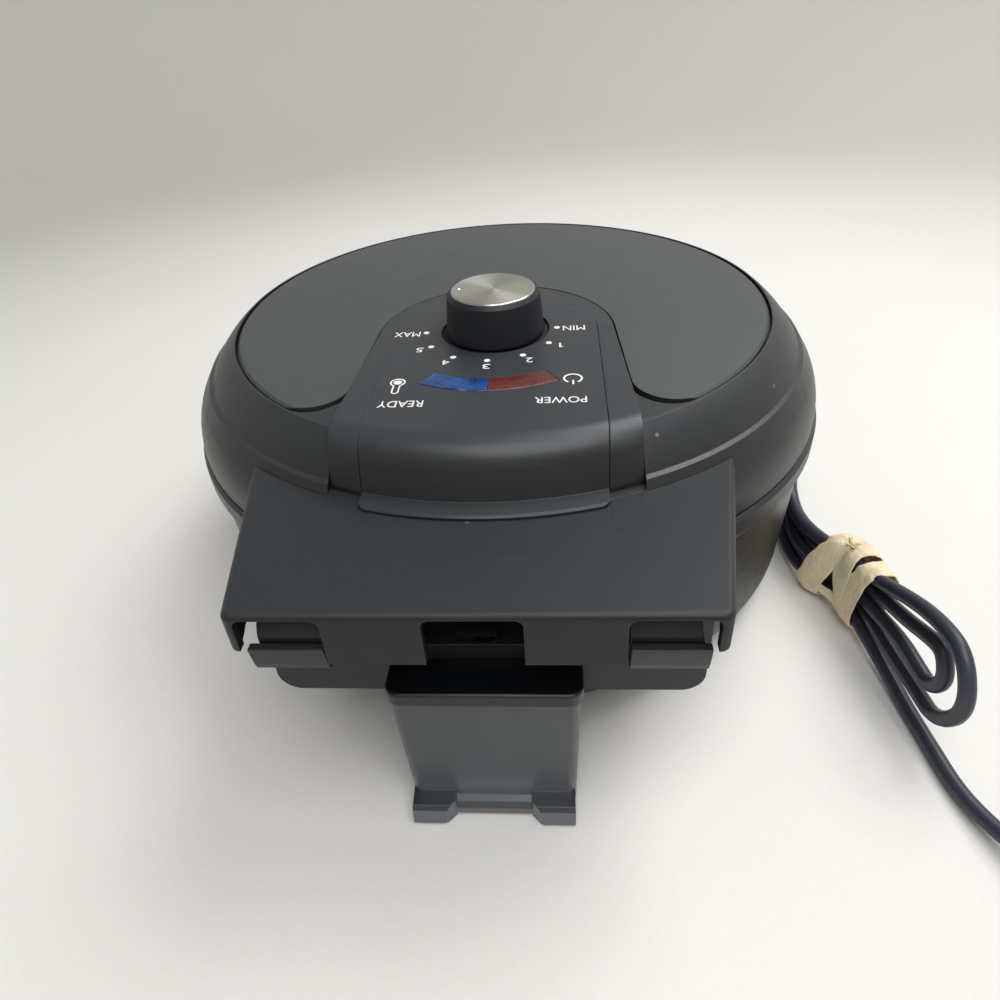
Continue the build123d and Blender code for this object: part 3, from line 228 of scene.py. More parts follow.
class Finish(Nodes):
    """A named material and the nodes that make its surface."""

    def __init__(self, name):
        self.material = bpy.data.materials.new(name)
        super().__init__(self.material)
        self.place = self.node("ShaderNodeTexCoord", {}, {}).output("Object")

    def mix(self, share, first, second):
        """Blend of two colours, which the Mix node takes at 6 and 7 and gives at 2."""
        made = self.node("ShaderNodeMix", {"data_type": "RGBA"}, {0: share, 6: first, 7: second})
        return made.output(2)

    def stretched(self, scale, turn=(0.0, 0.0, 0.0)):
        """Object coordinates scaled by three factors, after a turn."""
        turned = self.node("ShaderNodeMapping", {}, {"Vector": self.place, "Rotation": turn})
        return self.node("ShaderNodeMapping", {}, {"Vector": turned, "Scale": scale})

    def cloud(self, size, detail=3.0, where=None):
        """Noise with features of about that size in metres."""
        return self.node(
            "ShaderNodeTexNoise", {},
            {"Vector": where or self.place, "Scale": 1.0 / size, "Detail": detail},
        )

    def speck(self, size, share):
        """Small separate dots: 1 in about that share of the cells."""
        cells = self.node("ShaderNodeTexVoronoi", {}, {"Vector": self.place, "Scale": 1.0 / size})
        near = 1.0 - cells.output("Distance").ramp(0.10, 0.22)
        draw = self.node("ShaderNodeSeparateColor", {}, {"Color": cells.output("Color")})
        return near * draw.ramp(1.0 - share, 1.0 - share + 0.01)

    def rise(self, vector):
        """The upright part of a vector."""
        return self.node("ShaderNodeSeparateXYZ", {}, {"Vector": vector}).output("Z")

    def reach(self, where):
        """Distance of a place from the upright axis."""
        flat = self.node(
            "ShaderNodeVectorMath", {"operation": "MULTIPLY"}, {0: where, 1: (1.0, 1.0, 0.0)}
        )
        length = self.node("ShaderNodeVectorMath", {"operation": "LENGTH"}, {0: flat})
        return length.output("Value")

    def facing(self):
        """Normal of the surface as it was made."""
        return self.node("ShaderNodeNewGeometry", {}, {}).output("Normal")

    def soft_edges(self, radius):
        """Normal of the surface with its edges rounded by that radius."""
        return self.node("ShaderNodeBevel", {"samples": 4}, {"Radius": radius})

    def relief(self, height, depth, normal=None):
        """Normal of a surface that stands up by height times depth."""
        inputs = {"Height": height, "Distance": depth}
        if normal is not None:
            inputs["Normal"] = normal
        return self.node("ShaderNodeBump", {}, inputs)

    def painted_edge_highlight(self, rounded):
        """1 where the rounded normal leaves the flat one: the mask of painted highlights along
        edges.
        """
        agree = self.node(
            "ShaderNodeVectorMath", {"operation": "DOT_PRODUCT"}, {0: rounded, 1: self.facing()}
        )
        return (1.0 - agree.output("Value")).ramp(0.01, 0.12)

    def surface(self, **sockets):
        """Closes the material with one shader. Socket names use _ for spaces."""
        inputs = {name.replace("_", " "): value for name, value in sockets.items()}
        shader = self.node("ShaderNodeBsdfPrincipled", {}, inputs)
        self.node("ShaderNodeOutputMaterial", {}, {"Surface": shader})
        return self.material


def scaled(tint, factor):
    """A colour made lighter or darker."""
    return tuple(min(1.0, part * factor) for part in tint)


def moulded_plastic(
    name, tint, gloss, depth=0.00002, haze=0.35, streak=(1.0, 1.0, 1.0), dust=0.02, shine=0.5,
    bloom_and_painted_top_light=0.7,
):
    """Injection-moulded plastic: spark-eroded grain, rubbed haze, dust, painted light on its upward
    faces and painted highlights along its edges.
    """
    f = Finish(name)
    rounded = f.soft_edges(0.0004)
    fine = f.cloud(0.00035, 2.0)
    broad = f.cloud(0.035, 4.0)
    rub = f.cloud(0.006, 5.0, f.stretched(streak)).ramp(0.5, 0.75)
    edge_highlight = f.painted_edge_highlight(rounded)
    specks = f.speck(0.004, dust) * f.cloud(0.02).ramp(0.45, 0.6)
    upward = f.rise(f.facing()).ramp(0.35, 0.95)
    clean = f.mix(broad, scaled(tint, 0.85), scaled(tint, 1.2))
    # Painted light: faces that point upward are mixed towards three times the tint, as if lit from
    # above.
    base = f.mix(upward * bloom_and_painted_top_light, clean, scaled(tint, 3.0))
    rubbed = f.mix(rub * haze * 0.5, base, scaled(tint, 2.2))
    # Painted highlight: edges are mixed halfway towards four and a half times the tint.
    edged = f.mix(edge_highlight * 0.5, rubbed, scaled(tint, 4.5))
    shade = f.mix(specks * 0.5, edged, srgb(150, 148, 142))
    rough = broad * 0.10 + rub * haze * 0.20 + (gloss - 0.08)
    return f.surface(
        Base_Color=shade, Roughness=rough, Normal=f.relief(fine, depth, rounded), IOR=1.5,
        Specular_IOR_Level=shine,
    )


def leg_plastic(name, tint, cap):
    """Smooth glossy moulding of the standing leg with a dark cap, made pale at its toes by painted
    light and dark on its upward faces by painted shade.
    """
    f = Finish(name)
    rounded = f.soft_edges(0.0005)
    height = f.rise(f.place)
    haze = f.cloud(0.012, 5.0, f.stretched((1.0, 1.0, 0.4)))
    edge_highlight = f.painted_edge_highlight(rounded)
    body = f.mix(haze, scaled(tint, 0.85), scaled(tint, 1.15))
    # Painted light: the lowest 20 mm is mixed towards 2.6 times the tint, as if lit by the floor.
    painted_lit_bottom = f.mix((1.0 - height.ramp(0.004, 0.02)) * 0.8, body, scaled(tint, 2.6))
    # Painted shade: faces that point upward turn most of the way to the cap's dark colour.
    painted_dark_tops = f.mix(f.rise(f.facing()).ramp(0.4, 0.8) * 0.85, painted_lit_bottom, cap)
    capped = f.mix(height.ramp(LEG_CAP_Z - 0.4 * MM, LEG_CAP_Z), painted_dark_tops, cap)
    # Painted highlight: edges are mixed a little towards two and a half times the tint.
    return f.surface(
        Base_Color=f.mix(edge_highlight * 0.3, capped, scaled(tint, 2.5)),
        Roughness=haze * 0.12 + 0.26, Normal=f.relief(haze, 0.00003, rounded), IOR=1.5,
    )


def cast_coating(name):
    """Non-stick coating on cast aluminium: dark, slightly glossy and full of fine flecks."""
    f = Finish(name)
    rounded = f.soft_edges(0.0008)
    flecks = f.speck(0.0011, 0.16)
    pits = f.cloud(0.0009, 3.0)
    base = f.mix(f.cloud(0.03), srgb(36, 36, 37), srgb(46, 46, 48))
    return f.surface(
        Base_Color=f.mix(flecks * 0.35, base, srgb(120, 120, 122)),
        Roughness=pits * 0.15 + 0.3,
        Normal=f.relief(pits, 0.00004, rounded),
        Coat_Weight=0.25, Coat_Roughness=0.25,
    )


def sheet_metal(name, tint, gloss=0.32, streak=(1.0, 12.0, 1.0), metal=1.0):
    """Rolled metal with fine drawing lines and faint stains."""
    f = Finish(name)
    lines = f.cloud(0.0012, 4.0, f.stretched(streak))
    stain = f.cloud(0.018, 4.0)
    return f.surface(
        Base_Color=f.mix(stain, scaled(tint, 0.78), tint),
        Roughness=lines * 0.18 + (gloss - 0.06),
        Normal=f.relief(lines, 0.00001, f.soft_edges(0.0002)),
        Metallic=metal,
    )


def burnt_tube(name):
    """Heater tube: dull oxidised alloy with warm heat stains."""
    f = Finish(name)
    heat = f.cloud(0.02, 4.0).ramp(0.42, 0.66)
    scale = f.cloud(0.0008, 4.0)
    return f.surface(
        Base_Color=f.mix(heat, srgb(92, 92, 90), srgb(112, 96, 78)),
        Roughness=scale * 0.2 + 0.42, Normal=f.relief(scale, 0.00003), Metallic=0.8,
    )


def soft_rubber(name, tint, shine=0.5):
    """Matt rubber with a fine bloom."""
    f = Finish(name)
    fine = f.cloud(0.0005, 3.0)
    bloom_and_painted_top_light = f.cloud(0.012, 4.0).ramp(0.4, 0.7)
    return f.surface(
        Base_Color=f.mix(bloom_and_painted_top_light * 0.6, tint, scaled(tint, 2.0)),
        Roughness=fine * 0.1 + 0.68, Normal=f.relief(fine, 0.00003, f.soft_edges(0.0004)),
        Specular_IOR_Level=shine,
    )


def plain_moulding(name, tint, gloss=0.45):
    """Small light-coloured moulding of nylon or ceramic."""
    f = Finish(name)
    mottled = f.cloud(0.004, 4.0)
    return f.surface(
        Base_Color=f.mix(mottled, scaled(tint, 0.86), tint),
        Roughness=mottled * 0.15 + (gloss - 0.05),
        Normal=f.relief(f.cloud(0.0004), 0.00001, f.soft_edges(0.0003)),
    )


def tinted_lens(name, tint, depth_tint, fleck):
    """Clear tinted lens over a ribbed diffuser, with fine light flecks in it: painted glints, and
    on the power lens also its dotted texture.
    """
    f = Finish(name)
    ribs = f.cloud(0.0009, 3.0).ramp(0.3, 0.7)
    glow = f.cloud(0.006, 3.0).ramp(0.35, 0.65)
    deep = f.mix(ribs * 0.45 + glow * 0.35, depth_tint, tint)
    # Painted glints: small specks of a lighter tint; on the power lens they also give its dotted
    # texture.
    flecks = f.speck(0.0012, 0.35)
    return f.surface(
        Base_Color=f.mix(flecks * 0.3, deep, fleck), Roughness=ribs * 0.12 + 0.14,
        Normal=f.relief(ribs, 0.00005, f.soft_edges(0.0003)),
        IOR=1.49, Coat_Weight=0.4, Coat_Roughness=0.06,
    )


def brushed_cap(name, tint):
    """Aluminium disc turned on a lathe, with its bright fan and a few handling marks."""
    f = Finish(name)
    centred = f.node(
        "ShaderNodeMapping", {}, {"Vector": f.place, "Location": tuple(-KNOB_CENTRE)}
    )
    rings = f.node(
        "ShaderNodeTexNoise", {"noise_dimensions": "1D"},
        {"W": f.reach(centred), "Scale": 9000.0, "Detail": 3.0},
    )
    marks = f.cloud(0.004, 5.0, f.stretched((1.0, 6.0, 1.0), (0.0, 0.0, 0.6))).ramp(0.6, 0.72)
    return f.surface(
        Base_Color=f.mix(marks * 0.25, tint, scaled(tint, 0.6)),
        Roughness=rings * 0.10 + marks * 0.1 + 0.24,
        Normal=f.relief(rings, 0.000004, f.soft_edges(0.0003)),
        Metallic=1.0, Anisotropic=0.85, Anisotropic_Rotation=0.25,
    )


def knob_grip(name, tint):
    """Navy-black soft-touch moulding with fine grain and pale dust specks."""
    f = Finish(name)
    rounded = f.soft_edges(0.0005)
    grain = f.cloud(0.0004, 3.0)
    edge_highlight = f.painted_edge_highlight(rounded)
    specks = f.speck(0.0016, 0.05)
    base = f.mix(grain, scaled(tint, 0.8), scaled(tint, 1.35))
    # Painted highlight: edges are mixed most of the way towards five times the tint.
    edged = f.mix(edge_highlight * 0.6, base, scaled(tint, 5.0))
    return f.surface(
        Base_Color=f.mix(specks * 0.6, edged, srgb(120, 126, 138)),
        Roughness=grain * 0.1 + 0.46, Normal=f.relief(grain, 0.00004, rounded),
    )


def printed_ink(name, tint):
    """Pad-printed white ink, thin at its edges."""
    f = Finish(name)
    thin = f.cloud(0.0004, 3.0)
    return f.surface(
        Base_Color=f.mix(thin.ramp(0.55, 0.8) * 0.2, tint, scaled(tint, 0.55)),
        Roughness=thin * 0.1 + 0.5,
    )


def vinyl_jacket(name, tint):
    """Smooth vinyl cord jacket with a slight orange peel and a little dust."""
    f = Finish(name)
    peel = f.cloud(0.0012, 3.0)
    dust = f.speck(0.003, 0.03)
    clean = f.mix(peel, scaled(tint, 0.8), scaled(tint, 1.15))
    return f.surface(
        Base_Color=f.mix(dust * 0.5, clean, srgb(150, 150, 155)),
        Roughness=peel * 0.12 + 0.34, Normal=f.relief(peel, 0.00003),
    )


def crepe_paper(name, tint):
    """Thin crepe paper: crossways crinkles, fibres and darker glue lines."""
    f = Finish(name)
    crinkle = f.cloud(0.0009, 4.0, f.stretched((1.0, 1.0, 0.35)))
    fibre = f.cloud(0.0003, 3.0)
    stain = f.cloud(0.008, 4.0)
    shade = f.mix(stain.ramp(0.35, 0.7) * 0.6, tint, scaled(tint, 0.72))
    return f.surface(
        Base_Color=f.mix(fibre.ramp(0.5, 0.7) * 0.35, shade, scaled(tint, 1.2)),
        Roughness=fibre * 0.1 + 0.72,
        Normal=f.relief(crinkle + fibre * 0.4, 0.00028),
        Subsurface_Weight=0.15, Subsurface_Scale=0.001,
    )


def lamp_glass(name):
    """Small neon lamp: frosted glass with a warm electrode tint."""
    f = Finish(name)
    frost = f.cloud(0.0006, 3.0)
    return f.surface(
        Base_Color=f.mix(frost, srgb(226, 196, 170), srgb(240, 224, 206)),
        Roughness=frost * 0.15 + 0.12, Transmission_Weight=0.6, IOR=1.5,
    )


def floor_paper(name, floor, wall):
    """Matt paper that turns from the floor's colour to the darker wall's away from the object:
    painted shade of the light falling off.
    """
    f = Finish(name)
    broad_patches = f.cloud(0.25, 3.0)
    fibre = f.cloud(0.002, 4.0)
    # Painted shade: between 0.30 and 0.85 m from the middle the paper darkens to the wall colour.
    paper = f.mix(f.reach(f.place).ramp(0.30, 0.85), floor, wall)
    # The paper is darker in broad patches and along its fibres.
    return f.surface(
        Base_Color=f.mix(broad_patches * 0.25 + fibre * 0.1, paper, scaled(wall, 0.8)),
        Roughness=fibre * 0.1 + 0.8, Normal=f.relief(fibre, 0.0001),
    )


def dress(material, *names):
    """Gives CAD nodes a finish and smooth shading across their soft edges."""
    for name in names:
        mesh = NODES[name].data
        mesh.materials.clear()
        mesh.materials.append(material)
        mesh.polygons.foreach_set("use_smooth", [True] * len(mesh.polygons))


def shown(name, mesh, body, material):
    """A new piece made of a mesh or curve, riding on a body."""
    piece = bpy.data.objects.new(name, mesh)
    bpy.context.scene.collection.objects.link(piece)
    mesh.materials.append(material)
    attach(piece, body)
    return piece


class CameraOperator(bpy.types.Operator):
    """Put the camera where the photo was taken from."""

    bl_idname = "waffle_maker.camera"
    bl_label = "Aim the camera"

    def execute(self, context):
        s = context.scene.waffle_camera
        level = math.cos(s.pitch)
        forward = Vector((
            math.sin(s.yaw) * level, -math.cos(s.yaw) * level, -math.sin(s.pitch),
        ))
        right = forward.cross(Vector((0, 0, 1))).normalized()
        up = right.cross(forward)
        right_rolled = math.cos(s.roll) * right + math.sin(s.roll) * up
        up_rolled = math.cos(s.roll) * up - math.sin(s.roll) * right
        data = bpy.data.cameras.new("photo_camera")
        data.sensor_width = SENSOR_WIDTH
        data.lens = s.lens
        data.clip_start = 0.01
        camera = bpy.data.objects.new("photo_camera", data)
        camera.matrix_world = Matrix.Translation(s.place) @ Matrix(
            (right_rolled, up_rolled, -forward)
        ).transposed().to_4x4()
        context.scene.collection.objects.link(camera)
        context.scene.camera = camera
        return {"FINISHED"}


# The hank's frame in mm, as in the part's source: station along its runs, height and side
HANK_STEP = 10.0  # height from one level of runs to the next
HANK_RUN = 130.0  # station of the outer far turn
INNER_RUN = 127.0  # station of the inner far turn
INNER_LOOP = (-0.25, 1.25)  # levels that the inner far turn joins
RUN_START = 1.0  # first station of the inner runs
OUTER_RUN_START = -4.0  # first station of the outer runs
RUN_END = 126.0  # last station of every run
LEAD_END = 125.0  # last station of the lead
LEAD_SIDE = 5.9  # how far the lead stands off the hank's plane
WAIST_DROP = 5.2  # how far the lead runs below the hank's middle
TIE_STATION = 75.0  # where the paper tie sits
TIE_SIDE = 0.8  # how far the tie's middle stands off the bundle's
TIE_CLEARANCE = 0.2  # least height of the paper over the floor
BUNDLE_HALF = (6.0, 15.0)  # half the width and height of the tied bundle
PAPER_THICKNESS = 0.05  # as a share of the bundle's half size
LEAN = Vector((-0.12, math.sqrt(1 - 0.12**2), 0.0))
OUTBOARD = Vector((-LEAN.y, LEAN.x, 0.0))
HANK_ORIGIN = Vector((-128.0, 55.0, 22.6)) - LEAN * TIE_STATION

# The lead from the strain relief to the hank's side, and the tail's last points before the plug
LEAD_START = (
    (-67.5, -116.91, 20.0), (-82.5, -142.89, 20.0), (-110.0, -156.0, 10.0), (-134.0, -138.0, 10.0),
)
TAIL_END = ((-151.0, 166.0, 8.6), (-169.0, 184.0, 8.6))

# How the bundle lies: station, drop, side, spacing of its runs and their stagger
HANK_LAY = (
    (14.0, -4.5, -3.0, 7.7, 0.0),
    (34.0, -9.8, -6.2, 4.8, 0.9),
    (50.0, -8.9, -8.4, 4.7, 1.1),
    (65.0, -6.8, -6.6, 4.8, 1.2),
    (77.0, -5.2, -0.8, 4.8, 1.4),
    (90.0, -5.2, 0.0, 5.5, 0.8),
    (112.0, -1.5, 0.0, 8.6, 0.0),
)


def hank_point(station, height, side=0.0):
    """A point of the hank in millimetres."""
    return HANK_ORIGIN + LEAN * station + Vector((0, 0, height)) + OUTBOARD * side


def hank_turn(station, low, high, way):
    """Control points of a half turn between two levels at one end of the hank."""
    centre = (low + high) / 2 * HANK_STEP
    radius = abs(high - low) / 2 * HANK_STEP
    rise = 1 if high > low else -1
    wide = radius / math.cos(math.radians(30))
    return [
        hank_point(station + way * wide * 0.5, centre - rise * radius),
        hank_point(station + way * wide, centre),
        hank_point(station + way * wide * 0.5, centre + rise * radius),
    ]


def bundle_run(level, first=0):
    """Control points of one run through the bundle, from its drum end to its far end."""
    sideways = 1 if level % 2 else -1
    return [
        hank_point(station, level * spacing + drop, side + sideways * stagger)
        for station, drop, side, spacing, stagger in HANK_LAY[first:]
    ]


def hank_strand(level, forward):
    """Control points of one run of the hank, from its drum end where it runs forward."""
    start = OUTER_RUN_START if abs(level) > 1 else RUN_START
    end = INNER_LOOP[1] if level == 1 else level
    points = [
        hank_point(start, level * HANK_STEP), *bundle_run(level),
        hank_point(RUN_END, end * HANK_STEP),
    ]
    return points if forward else points[::-1]


def cord_route():
    """Control points of the whole supply cord, in millimetres."""
    lead = [
        *(Vector(place) for place in LEAD_START),
        *(hank_point(station, -WAIST_DROP, LEAD_SIDE) for station in (-84.0, -34.0, RUN_START)),
        hank_point(15.0, -6.0, 1.5), hank_point(31.0, -9.6, -4.6), *bundle_run(0, 2),
        hank_point(LEAD_END, INNER_LOOP[0] * HANK_STEP),
    ]
    hank = [
        *hank_turn(INNER_RUN, *INNER_LOOP, 1), *hank_strand(1, False),
        *hank_turn(0, 1, -1, -1), *hank_strand(-1, True),
        *hank_turn(HANK_RUN, -1, 2, 1), *hank_strand(2, False),
        *hank_turn(0, 2, -2, -1), *hank_strand(-2, True),
    ]
    tail = [
        *(hank_point(station, -2 * HANK_STEP) for station in (136.0, 162.0)),
        *(Vector(place) for place in TAIL_END),
    ]
    return lead + hank + tail


def bundle_middle(station):
    """Drop and side of the bundle's middle at a station."""
    for near, far in zip(HANK_LAY, HANK_LAY[1:]):
        if station <= far[0]:
            share = max(0.0, (station - near[0]) / (far[0] - near[0]))
            return near[1] + (far[1] - near[1]) * share, near[2] + (far[2] - near[2]) * share
    return HANK_LAY[-1][1:3]


class CordOperator(bpy.types.Operator):
    """Run the supply cord out of its strain relief into the tied hank and to its plug."""

    bl_idname = "waffle_maker.cord"
    bl_label = "Supply cord"

    def execute(self, context):
        s = context.scene.waffle_cord
        curve = bpy.data.curves.new("supply_cord", "CURVE")
        curve.dimensions = "3D"
        curve.resolution_u = 8
        curve.bevel_depth = s.diameter / 2
        curve.bevel_resolution = 5
        route = cord_route()
        spline = curve.splines.new("NURBS")
        spline.points.add(len(route) - 1)
        for point, place in zip(spline.points, route):
            point.co = (*(place * MM), 1.0)
        spline.order_u = 3
        spline.use_endpoint_u = True
        vinyl = vinyl_jacket("cord_vinyl", s.jacket)
        cord = shown("supply_cord", curve, "base", vinyl)
        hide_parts("cord_lead", "cord_hank", "cord_tail")
        route[0] * MM
        return {"FINISHED"}


def superellipse(half_wide, half_high, turn, power=2.8):
    """A point of a rounded loop."""
    c, s = math.cos(turn), math.sin(turn)
    return (
        half_wide * math.copysign(abs(c) ** (2 / power), c),
        half_high * math.copysign(abs(s) ** (2 / power), s),
    )


def paper_band(bm, tilt, shift, grow, band, start=0, sweep=360):
    """One crumpled turn of paper round the bundle, whole or part, as a thin closed strip."""
    across = 9
    steps = sweep // 5
    closed = sweep == 360
    slope = math.tan(math.radians(tilt))
    outer, inner = [], []
    for i in range(steps if closed else steps + 1):
        turn = math.radians(start + sweep * i / steps)
        side, height = superellipse(*(half + grow for half in BUNDLE_HALF), turn)
        outer_row, inner_row = [], []
        for j in range(across):
            share = j / (across - 1) - 0.5
            pucker, crease = (
                noise.noise(Vector((
                    math.cos(turn) * around, math.sin(turn) * around + tilt, share * over
                )))
                for around, over in ((2.4, 2.5), (9.0, 7.0))
            )
            station = TIE_STATION + shift + slope * height + share * band * (1 + 0.22 * pucker)
            drop, pull = bundle_middle(station)
            swell = 1 + 0.05 * pucker + 0.03 * crease - 0.16 * share**2
            for row, scale in ((outer_row, swell), (inner_row, swell - PAPER_THICKNESS)):
                place = hank_point(
                    station, drop + height * scale, pull + TIE_SIDE + side * scale
                )
                place.z = max(place.z, TIE_CLEARANCE)
                row.append(bm.verts.new(place * MM))
        outer.append(outer_row)
        inner.append(inner_row)
    rows = len(outer)
    for i in range(rows if closed else rows - 1):
        k = (i + 1) % rows
        for j in range(across - 1):
            bm.faces.new((outer[i][j], outer[k][j], outer[k][j + 1], outer[i][j + 1]))
            bm.faces.new((inner[i][j + 1], inner[k][j + 1], inner[k][j], inner[i][j]))
        bm.faces.new((outer[i][0], inner[i][0], inner[k][0], outer[k][0]))
        bm.faces.new((outer[k][-1], inner[k][-1], inner[i][-1], outer[i][-1]))
    if not closed:
        for row in (0, rows - 1):
            for j in range(across - 1):
                bm.faces.new((outer[row][j], outer[row][j + 1], inner[row][j + 1], inner[row][j]))


def paper_tuft(bm, station, height, side):
    """The frayed twist where the paper's ends are tucked in."""
    for k in range(7):
        turn = math.tau * k / 7
        way = Vector((math.cos(turn) * 1.3, 0.75 + 0.3 * math.sin(k * 2.1), math.sin(turn)))
        rows = []
        for i in range(5):
            along = i / 4
            bend = noise.noise(Vector((k * 3.1, along * 2, 0))) * 1.6
            width = 2.0 * (1 - 0.7 * along) + 0.3
            centre = Vector((station, height, side)) + way * (2.4 * along)
            centre += Vector((bend, 0, bend * 0.5))
            corners = (
                centre + Vector((u * width, v, u * width * 0.4))
                for u, v in ((-0.5, 0.0), (0.5, 0.0), (0.5, 0.35), (-0.5, 0.35))
            )
            rows.append([bm.verts.new(hank_point(*corner) * MM) for corner in corners])
        for near, far in zip(rows, rows[1:]):
            for j in range(4):
                bm.faces.new((near[j], near[(j + 1) % 4], far[(j + 1) % 4], far[j]))
        bm.faces.new(rows[0])
        bm.faces.new(rows[-1][::-1])


class TieOperator(bpy.types.Operator):
    """Wrap the crossed crepe paper tie round the waist of the hank."""

    bl_idname = "waffle_maker.tie"
    bl_label = "Paper tie"

    def execute(self, context):
        s = context.scene.waffle_cord
        mesh = bpy.data.meshes.new("cord_tie_paper")
        bm = bmesh.new()
        band = s.band / MM
        paper_band(bm, 17.0, -5.0, 1.2, 0.95 * band)
        paper_band(bm, -9.0, 6.5, 1.0, 0.8 * band)
        paper_band(bm, 8.0, 13.0, 0.7, 0.8 * band)
        paper_band(bm, -50.0, -13.0, 0.6, 1.1 * band, 200, 75)
        paper_tuft(bm, TIE_STATION + 2.5, 9.6, -3.2)
        bmesh.ops.recalc_face_normals(bm, faces=bm.faces)
        bm.to_mesh(mesh)
        bm.free()
        mesh.polygons.foreach_set("use_smooth", [True] * len(mesh.polygons))
        paper = crepe_paper("crepe_paper", s.paper)
        tie = shown("cord_tie_paper", mesh, "base", paper)
        tie.modifiers.new("smooth", "SUBSURF").render_levels = 1
        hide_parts("cord_tie")
        return {"FINISHED"}


class HousingOperator(bpy.types.Operator):
    """Finish the drum, lid, hinge plate, leg and handle mouldings."""

    bl_idname = "waffle_maker.housing"
    bl_label = "Housing finishes"

    def execute(self, context):
        s = context.scene.waffle_body
        shell = moulded_plastic("shell_plastic", s.shell, 0.42)
        bracket = moulded_plastic("bracket_plastic", s.shell, 0.40, shine=0.4)
        hinge = moulded_plastic(
            "hinge_plate_plastic", s.shell, 0.46, streak=(0.25, 3.0, 3.0), haze=0.7, dust=0.05,
            shine=0.3,
        )
        panel = moulded_plastic("top_panel_plastic", s.inlay, 0.5, haze=0.2, depth=0.000012)
        pod = moulded_plastic("pod_plastic", s.pod, 0.42, streak=(0.2, 3.0, 3.0), haze=0.5)
        dress(shell, "base_shell", "lid_shell", "lid_handle")
        dress(bracket, "hinge_bracket")
        dress(hinge, "hinge_plate")
        dress(panel, "lid_panel")
        dress(pod, "pod_frame", "control_panel")
        dress(leg_plastic("leg_plastic", s.leg, s.cap), "standing_leg")
        dress(moulded_plastic("cover_plastic", s.shell, 0.55, dust=0.03), "bottom_cover")
        dress(soft_rubber("black_rubber", s.rubber), "rubber_feet", "strain_relief")
        # Painted shade: the gland and sleeve in the hinge cut-out get the rubber at a fifth of its
        # colour and almost no shine.
        dress(soft_rubber("hinge_rubber_painted_shade", scaled(s.rubber, 0.2), 0.04), "wire_gland", "wire_sleeve")
        return {"FINISHED"}


class KnobOperator(bpy.types.Operator):
    """Finish the knob, its brushed cap, shaft and the dark ring in its well."""

    bl_idname = "waffle_maker.knob"
    bl_label = "Temperature knob"

    def execute(self, context):
        s = context.scene.waffle_controls
        dress(knob_grip("knob_soft_plastic", s.knob), "knob_body")
        dress(brushed_cap("brushed_aluminium", s.cap), "knob_cap")
        dress(sheet_metal("shaft_steel", srgb(170, 168, 164)), "knob_shaft")
        dress(soft_rubber("well_ring_black", scaled(s.knob, 0.4)), "knob_bezel")
        return {"FINISHED"}


class LampOperator(bpy.types.Operator):
    """Finish the two indicator lenses and what lights them."""

    bl_idname = "waffle_maker.lamps"
    bl_label = "Indicator lamps"

    def execute(self, context):
        s = context.scene.waffle_controls
        blue = tinted_lens("ready_blue", s.ready, scaled(s.ready, 0.2), srgb(40, 122, 205))
        red = tinted_lens("power_red", s.power, scaled(s.power, 0.35), srgb(150, 92, 90))
        dress(blue, "ready_lens")
        dress(red, "power_lens")
        dress(plain_moulding("tray_white", srgb(222, 220, 212)), "lamp_tray")
        dress(lamp_glass("lamp_glass"), "indicator_lamps")
        return {"FINISHED"}


def flat_ring(bm, centre, inner, outer, start=0.0, sweep=360.0, steps=40):
    """A flat arc of ink with square ends."""
    inside, outside = [], []
    for i in range(steps + 1):
        turn = math.radians(start + sweep * i / steps)
        way = Vector((math.cos(turn), math.sin(turn), 0))
        inside.append(bm.verts.new(centre + way * inner))
        outside.append(bm.verts.new(centre + way * outer))
    for i in range(steps):
        bm.faces.new((inside[i], outside[i], outside[i + 1], inside[i + 1]))


def flat_shape(bm, points):
    """A flat polygon of ink."""
    bm.faces.new([bm.verts.new(point) for point in points])


def flat_disc(bm, centre, radius):
    """A flat round dot of ink."""
    turns = (math.tau * i / 24 for i in range(24))
    flat_shape(bm, [
        centre + Vector((math.cos(turn), math.sin(turn), 0)) * radius for turn in turns
    ])


